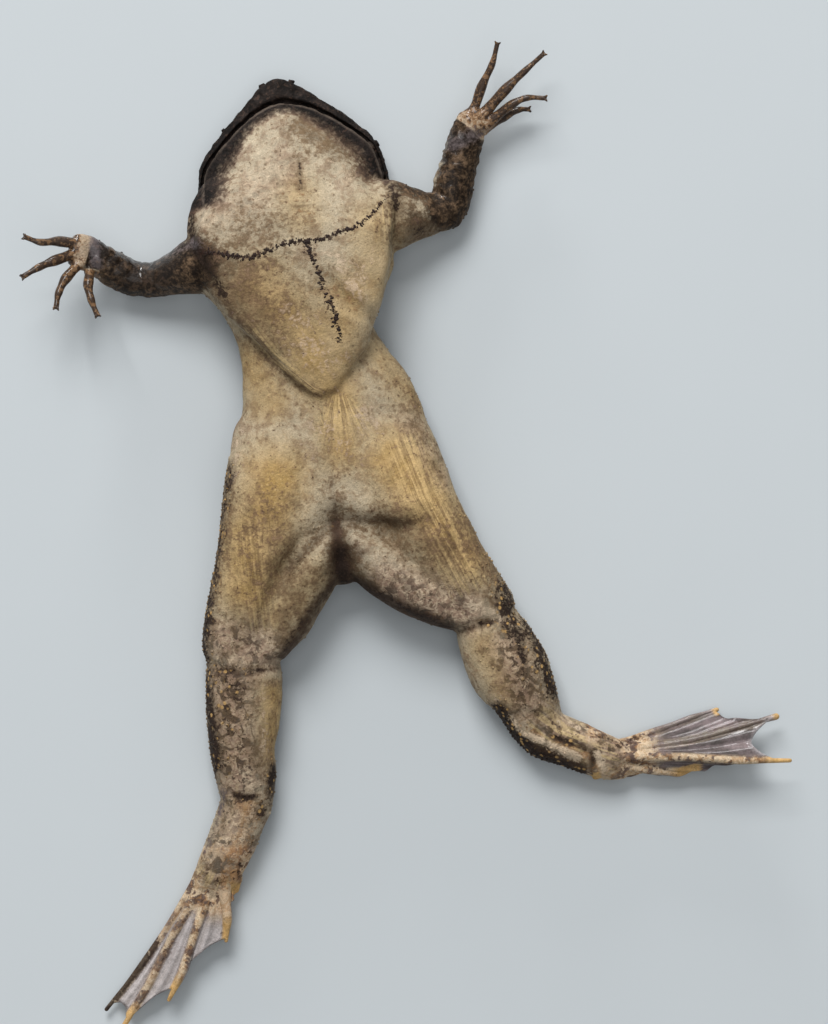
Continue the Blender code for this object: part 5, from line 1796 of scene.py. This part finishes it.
class TOAD_OT_tubercles(bpy.types.Operator):
    """Grows the tubercles of the flanks, and the papillae of the seam"""

    bl_idname = "toad.tubercles"
    bl_label = "Tubercles and seam"

    def execute(self, context):
        tubercles = context.scene.toad_tubercles
        seam = context.scene.toad_seam
        skin_object = bpy.data.objects["toad_skin"]
        flat = flat_skin(skin_object)
        papillae = self.seam_points(seam, flat)
        count = len(flat.data.vertices)
        store_paint(flat.data, {"size": np.ones(count)})
        material = skin_object.data.materials[0]
        flat.name = "toad_tubercles"
        grow(flat, growth_tree("tubercle_growth", True), tubercles, 0.8, 1.0, material)
        finish_piece(flat, material)
        material = seam_material(seam)
        grow(papillae, growth_tree("seam_growth", False), seam, 0.3, 0.6, material)
        finish_piece(papillae, material)
        return {"FINISHED"}

    def seam_points(self, seam, flat):
        """The roots of the papillae on the skin along the seam, with their headings and sizes."""
        corners = [vertex.co for vertex in flat.data.vertices]
        tree = BVHTree.FromPolygons(corners, [tuple(face.vertices) for face in flat.data.polygons])
        uv = flat.data.uv_layers["flat"].data
        chance = np.random.default_rng(seam.seed)
        step = seam.spacing / MM
        found, headings, sizes, flats = [], [], [], []
        for line, wide in ((SEAM_BAR, 0.35), (SEAM_BAR, 0.45), (SEAM_STEM, 0.5), (SEAM_STEM, 0.5)):
            curve = smooth_curve(line, 24)
            lengths = np.concatenate([[0], np.cumsum(np.linalg.norm(np.diff(curve, axis=0), axis=1))])
            for place in np.arange(0, lengths[-1], step):
                before, middle, beyond = (
                    np.array([np.interp(place + further, lengths, curve[:, axis]) for axis in (0, 1)])
                    for further in (-0.5, 0.0, 0.5)
                )
                along = unit(beyond - before)
                if chance.random() < SEAM_GAPS:
                    continue
                spot = middle + np.array([-along[1], along[0]]) * chance.normal(0, wide)
                start = Vector((*(spot - np.array(CENTRE[:2])), WELL_ABOVE)) * MM
                hit, _, face, _ = tree.ray_cast(start, Vector((0, 0, -1)))
                if hit is None:
                    continue
                corners = flat.data.polygons[face]
                points = [flat.data.vertices[index].co for index in corners.vertices][:3]
                maps = [uv[index].uv.to_3d() for index in corners.loop_indices][:3]
                found.append(hit)
                flats.append(barycentric_transform(hit, *points, *maps))
                headings.append(math.atan2(along[1], along[0]) + math.radians(PAPILLA_TURN))
                ends = fall(place, lengths[-1] - 6.0, lengths[-1] + 1.0)
                sizes.append(0.45 + 0.55 * ends * chance.random() + 0.15 * ends)
        mesh = bpy.data.meshes.new("toad_seam")
        mesh.from_pydata([tuple(point) for point in found], [], [])
        store_paint(mesh, {"heading": np.array(headings), "size": np.array(sizes)})
        layer = mesh.attributes.new("flat", "FLOAT_VECTOR", "POINT")
        layer.data.foreach_set("vector", np.array([tuple(point) for point in flats], np.float32).ravel())
        return scene_object("toad_seam", mesh)


class TOAD_OT_eyes(bpy.types.Operator):
    """Models the two small lidless eyes"""

    bl_idname = "toad.eyes"
    bl_label = "Eyes"

    def execute(self, context):
        material = eye_material()
        for name, (x, y) in EYE_PLACES.items():
            made = ball(f"{name}_ball", x, y, EYE_RADIUS)
            points, _ = read_mesh(made.data)
            centre = head_point(x, y, EYE_HEIGHT)
            outwards = unit(points - centre)
            store_paint(made.data, {"ring": np.arccos(np.clip(-outwards[:, 2], -1, 1)) / (math.pi / 2)})
            to_solids(made.data)
            finish_piece(made, material)
            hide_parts(name)
        return {"FINISHED"}


# The stage in metres: the floor, the place and size of each light, and where the camera hangs.
FLOOR_HALF = 1.6
FLOOR_LEVEL = -0.0002
LIGHTS = {"key": ((-0.6, 2.2, 2.3), 1.5), "rim": ((-0.5, 2.4, 0.4), 0.5), "fill": ((0.1, -0.1, 1.3), 1.0)}
CAMERA_PLACE = (0.00195, 0.00746)
WORLD_COLOUR = (0.93, 0.97, 1.0, 1.0)


class TOAD_OT_stage(bpy.types.Operator):
    """Lays the floor, hangs the lights and sets the camera over the belly"""

    bl_idname = "toad.stage"
    bl_label = "Stage"

    def execute(self, context):
        stage = context.scene.toad_stage
        mesh = bpy.data.meshes.new("stage_floor")
        half, level = FLOOR_HALF, FLOOR_LEVEL
        corners = [(-half, -half, level), (half, -half, level), (half, half, level), (-half, half, level)]
        mesh.from_pydata(corners, [], [(0, 1, 2, 3)])
        mesh.materials.append(floor_material(stage.floor))
        scene_object("stage_floor", mesh)
        for name, (place, size) in LIGHTS.items():
            self.add_light(f"{name}_light", place, size, getattr(stage, f"{name}_power"))
        world = bpy.data.worlds.new("stage_world")
        world.use_nodes = True
        background = world.node_tree.nodes["Background"]
        background.inputs["Color"].default_value = WORLD_COLOUR
        background.inputs["Strength"].default_value = stage.world
        context.scene.world = world
        context.scene.view_settings.view_transform = "Standard"
        camera = scene_object("camera", bpy.data.cameras.new("camera"))
        camera.data.lens = stage.lens
        camera.data.sensor_width = 36.0
        camera.location = (*CAMERA_PLACE, stage.height)
        context.scene.camera = camera
        return {"FINISHED"}

    def add_light(self, name, place, size, power):
        """A square area light that faces the middle of the toad."""
        light = bpy.data.lights.new(name, "AREA")
        light.size = size
        light.energy = power
        made = scene_object(name, light)
        made.location = place
        made.rotation_mode = "QUATERNION"
        made.rotation_quaternion = (-Vector(place)).to_track_quat("-Z", "Y")


class TOAD_PT_panel(bpy.types.Panel):
    """Lists the steps and their sizes"""

    bl_label = "Surinam toad"
    bl_space_type = "VIEW_3D"
    bl_region_type = "UI"
    bl_category = "Toad"

    def draw(self, context):
        column = self.layout.column()
        for operator in OPERATORS:
            column.operator(operator.bl_idname)
        for name in GROUPS:
            group = getattr(context.scene, name)
            for label in group.bl_rna.properties.keys():
                if label not in ("rna_type", "name"):
                    column.prop(group, label)


GROUPS = {
    "toad_skin": ToadSkinSettings,
    "toad_tubercles": ToadTubercleSettings,
    "toad_seam": ToadSeamSettings,
    "toad_stage": ToadStageSettings,
}
OPERATORS = (TOAD_OT_skin, TOAD_OT_tubercles, TOAD_OT_eyes, TOAD_OT_stage)


def register():
    for group in GROUPS.values():
        bpy.utils.register_class(group)
    for name, group in GROUPS.items():
        setattr(bpy.types.Scene, name, PointerProperty(type=group))
    for operator in OPERATORS:
        bpy.utils.register_class(operator)
    bpy.utils.register_class(TOAD_PT_panel)


def unregister():
    bpy.utils.unregister_class(TOAD_PT_panel)
    for operator in reversed(OPERATORS):
        bpy.utils.unregister_class(operator)
    for name, group in GROUPS.items():
        delattr(bpy.types.Scene, name)
        bpy.utils.unregister_class(group)


def main():
    """Dresses the solids."""
    register()
    bpy.ops.toad.skin()
    bpy.ops.toad.tubercles()
    bpy.ops.toad.eyes()
    bpy.ops.toad.stage()


if __name__ == "__main__":
    main()
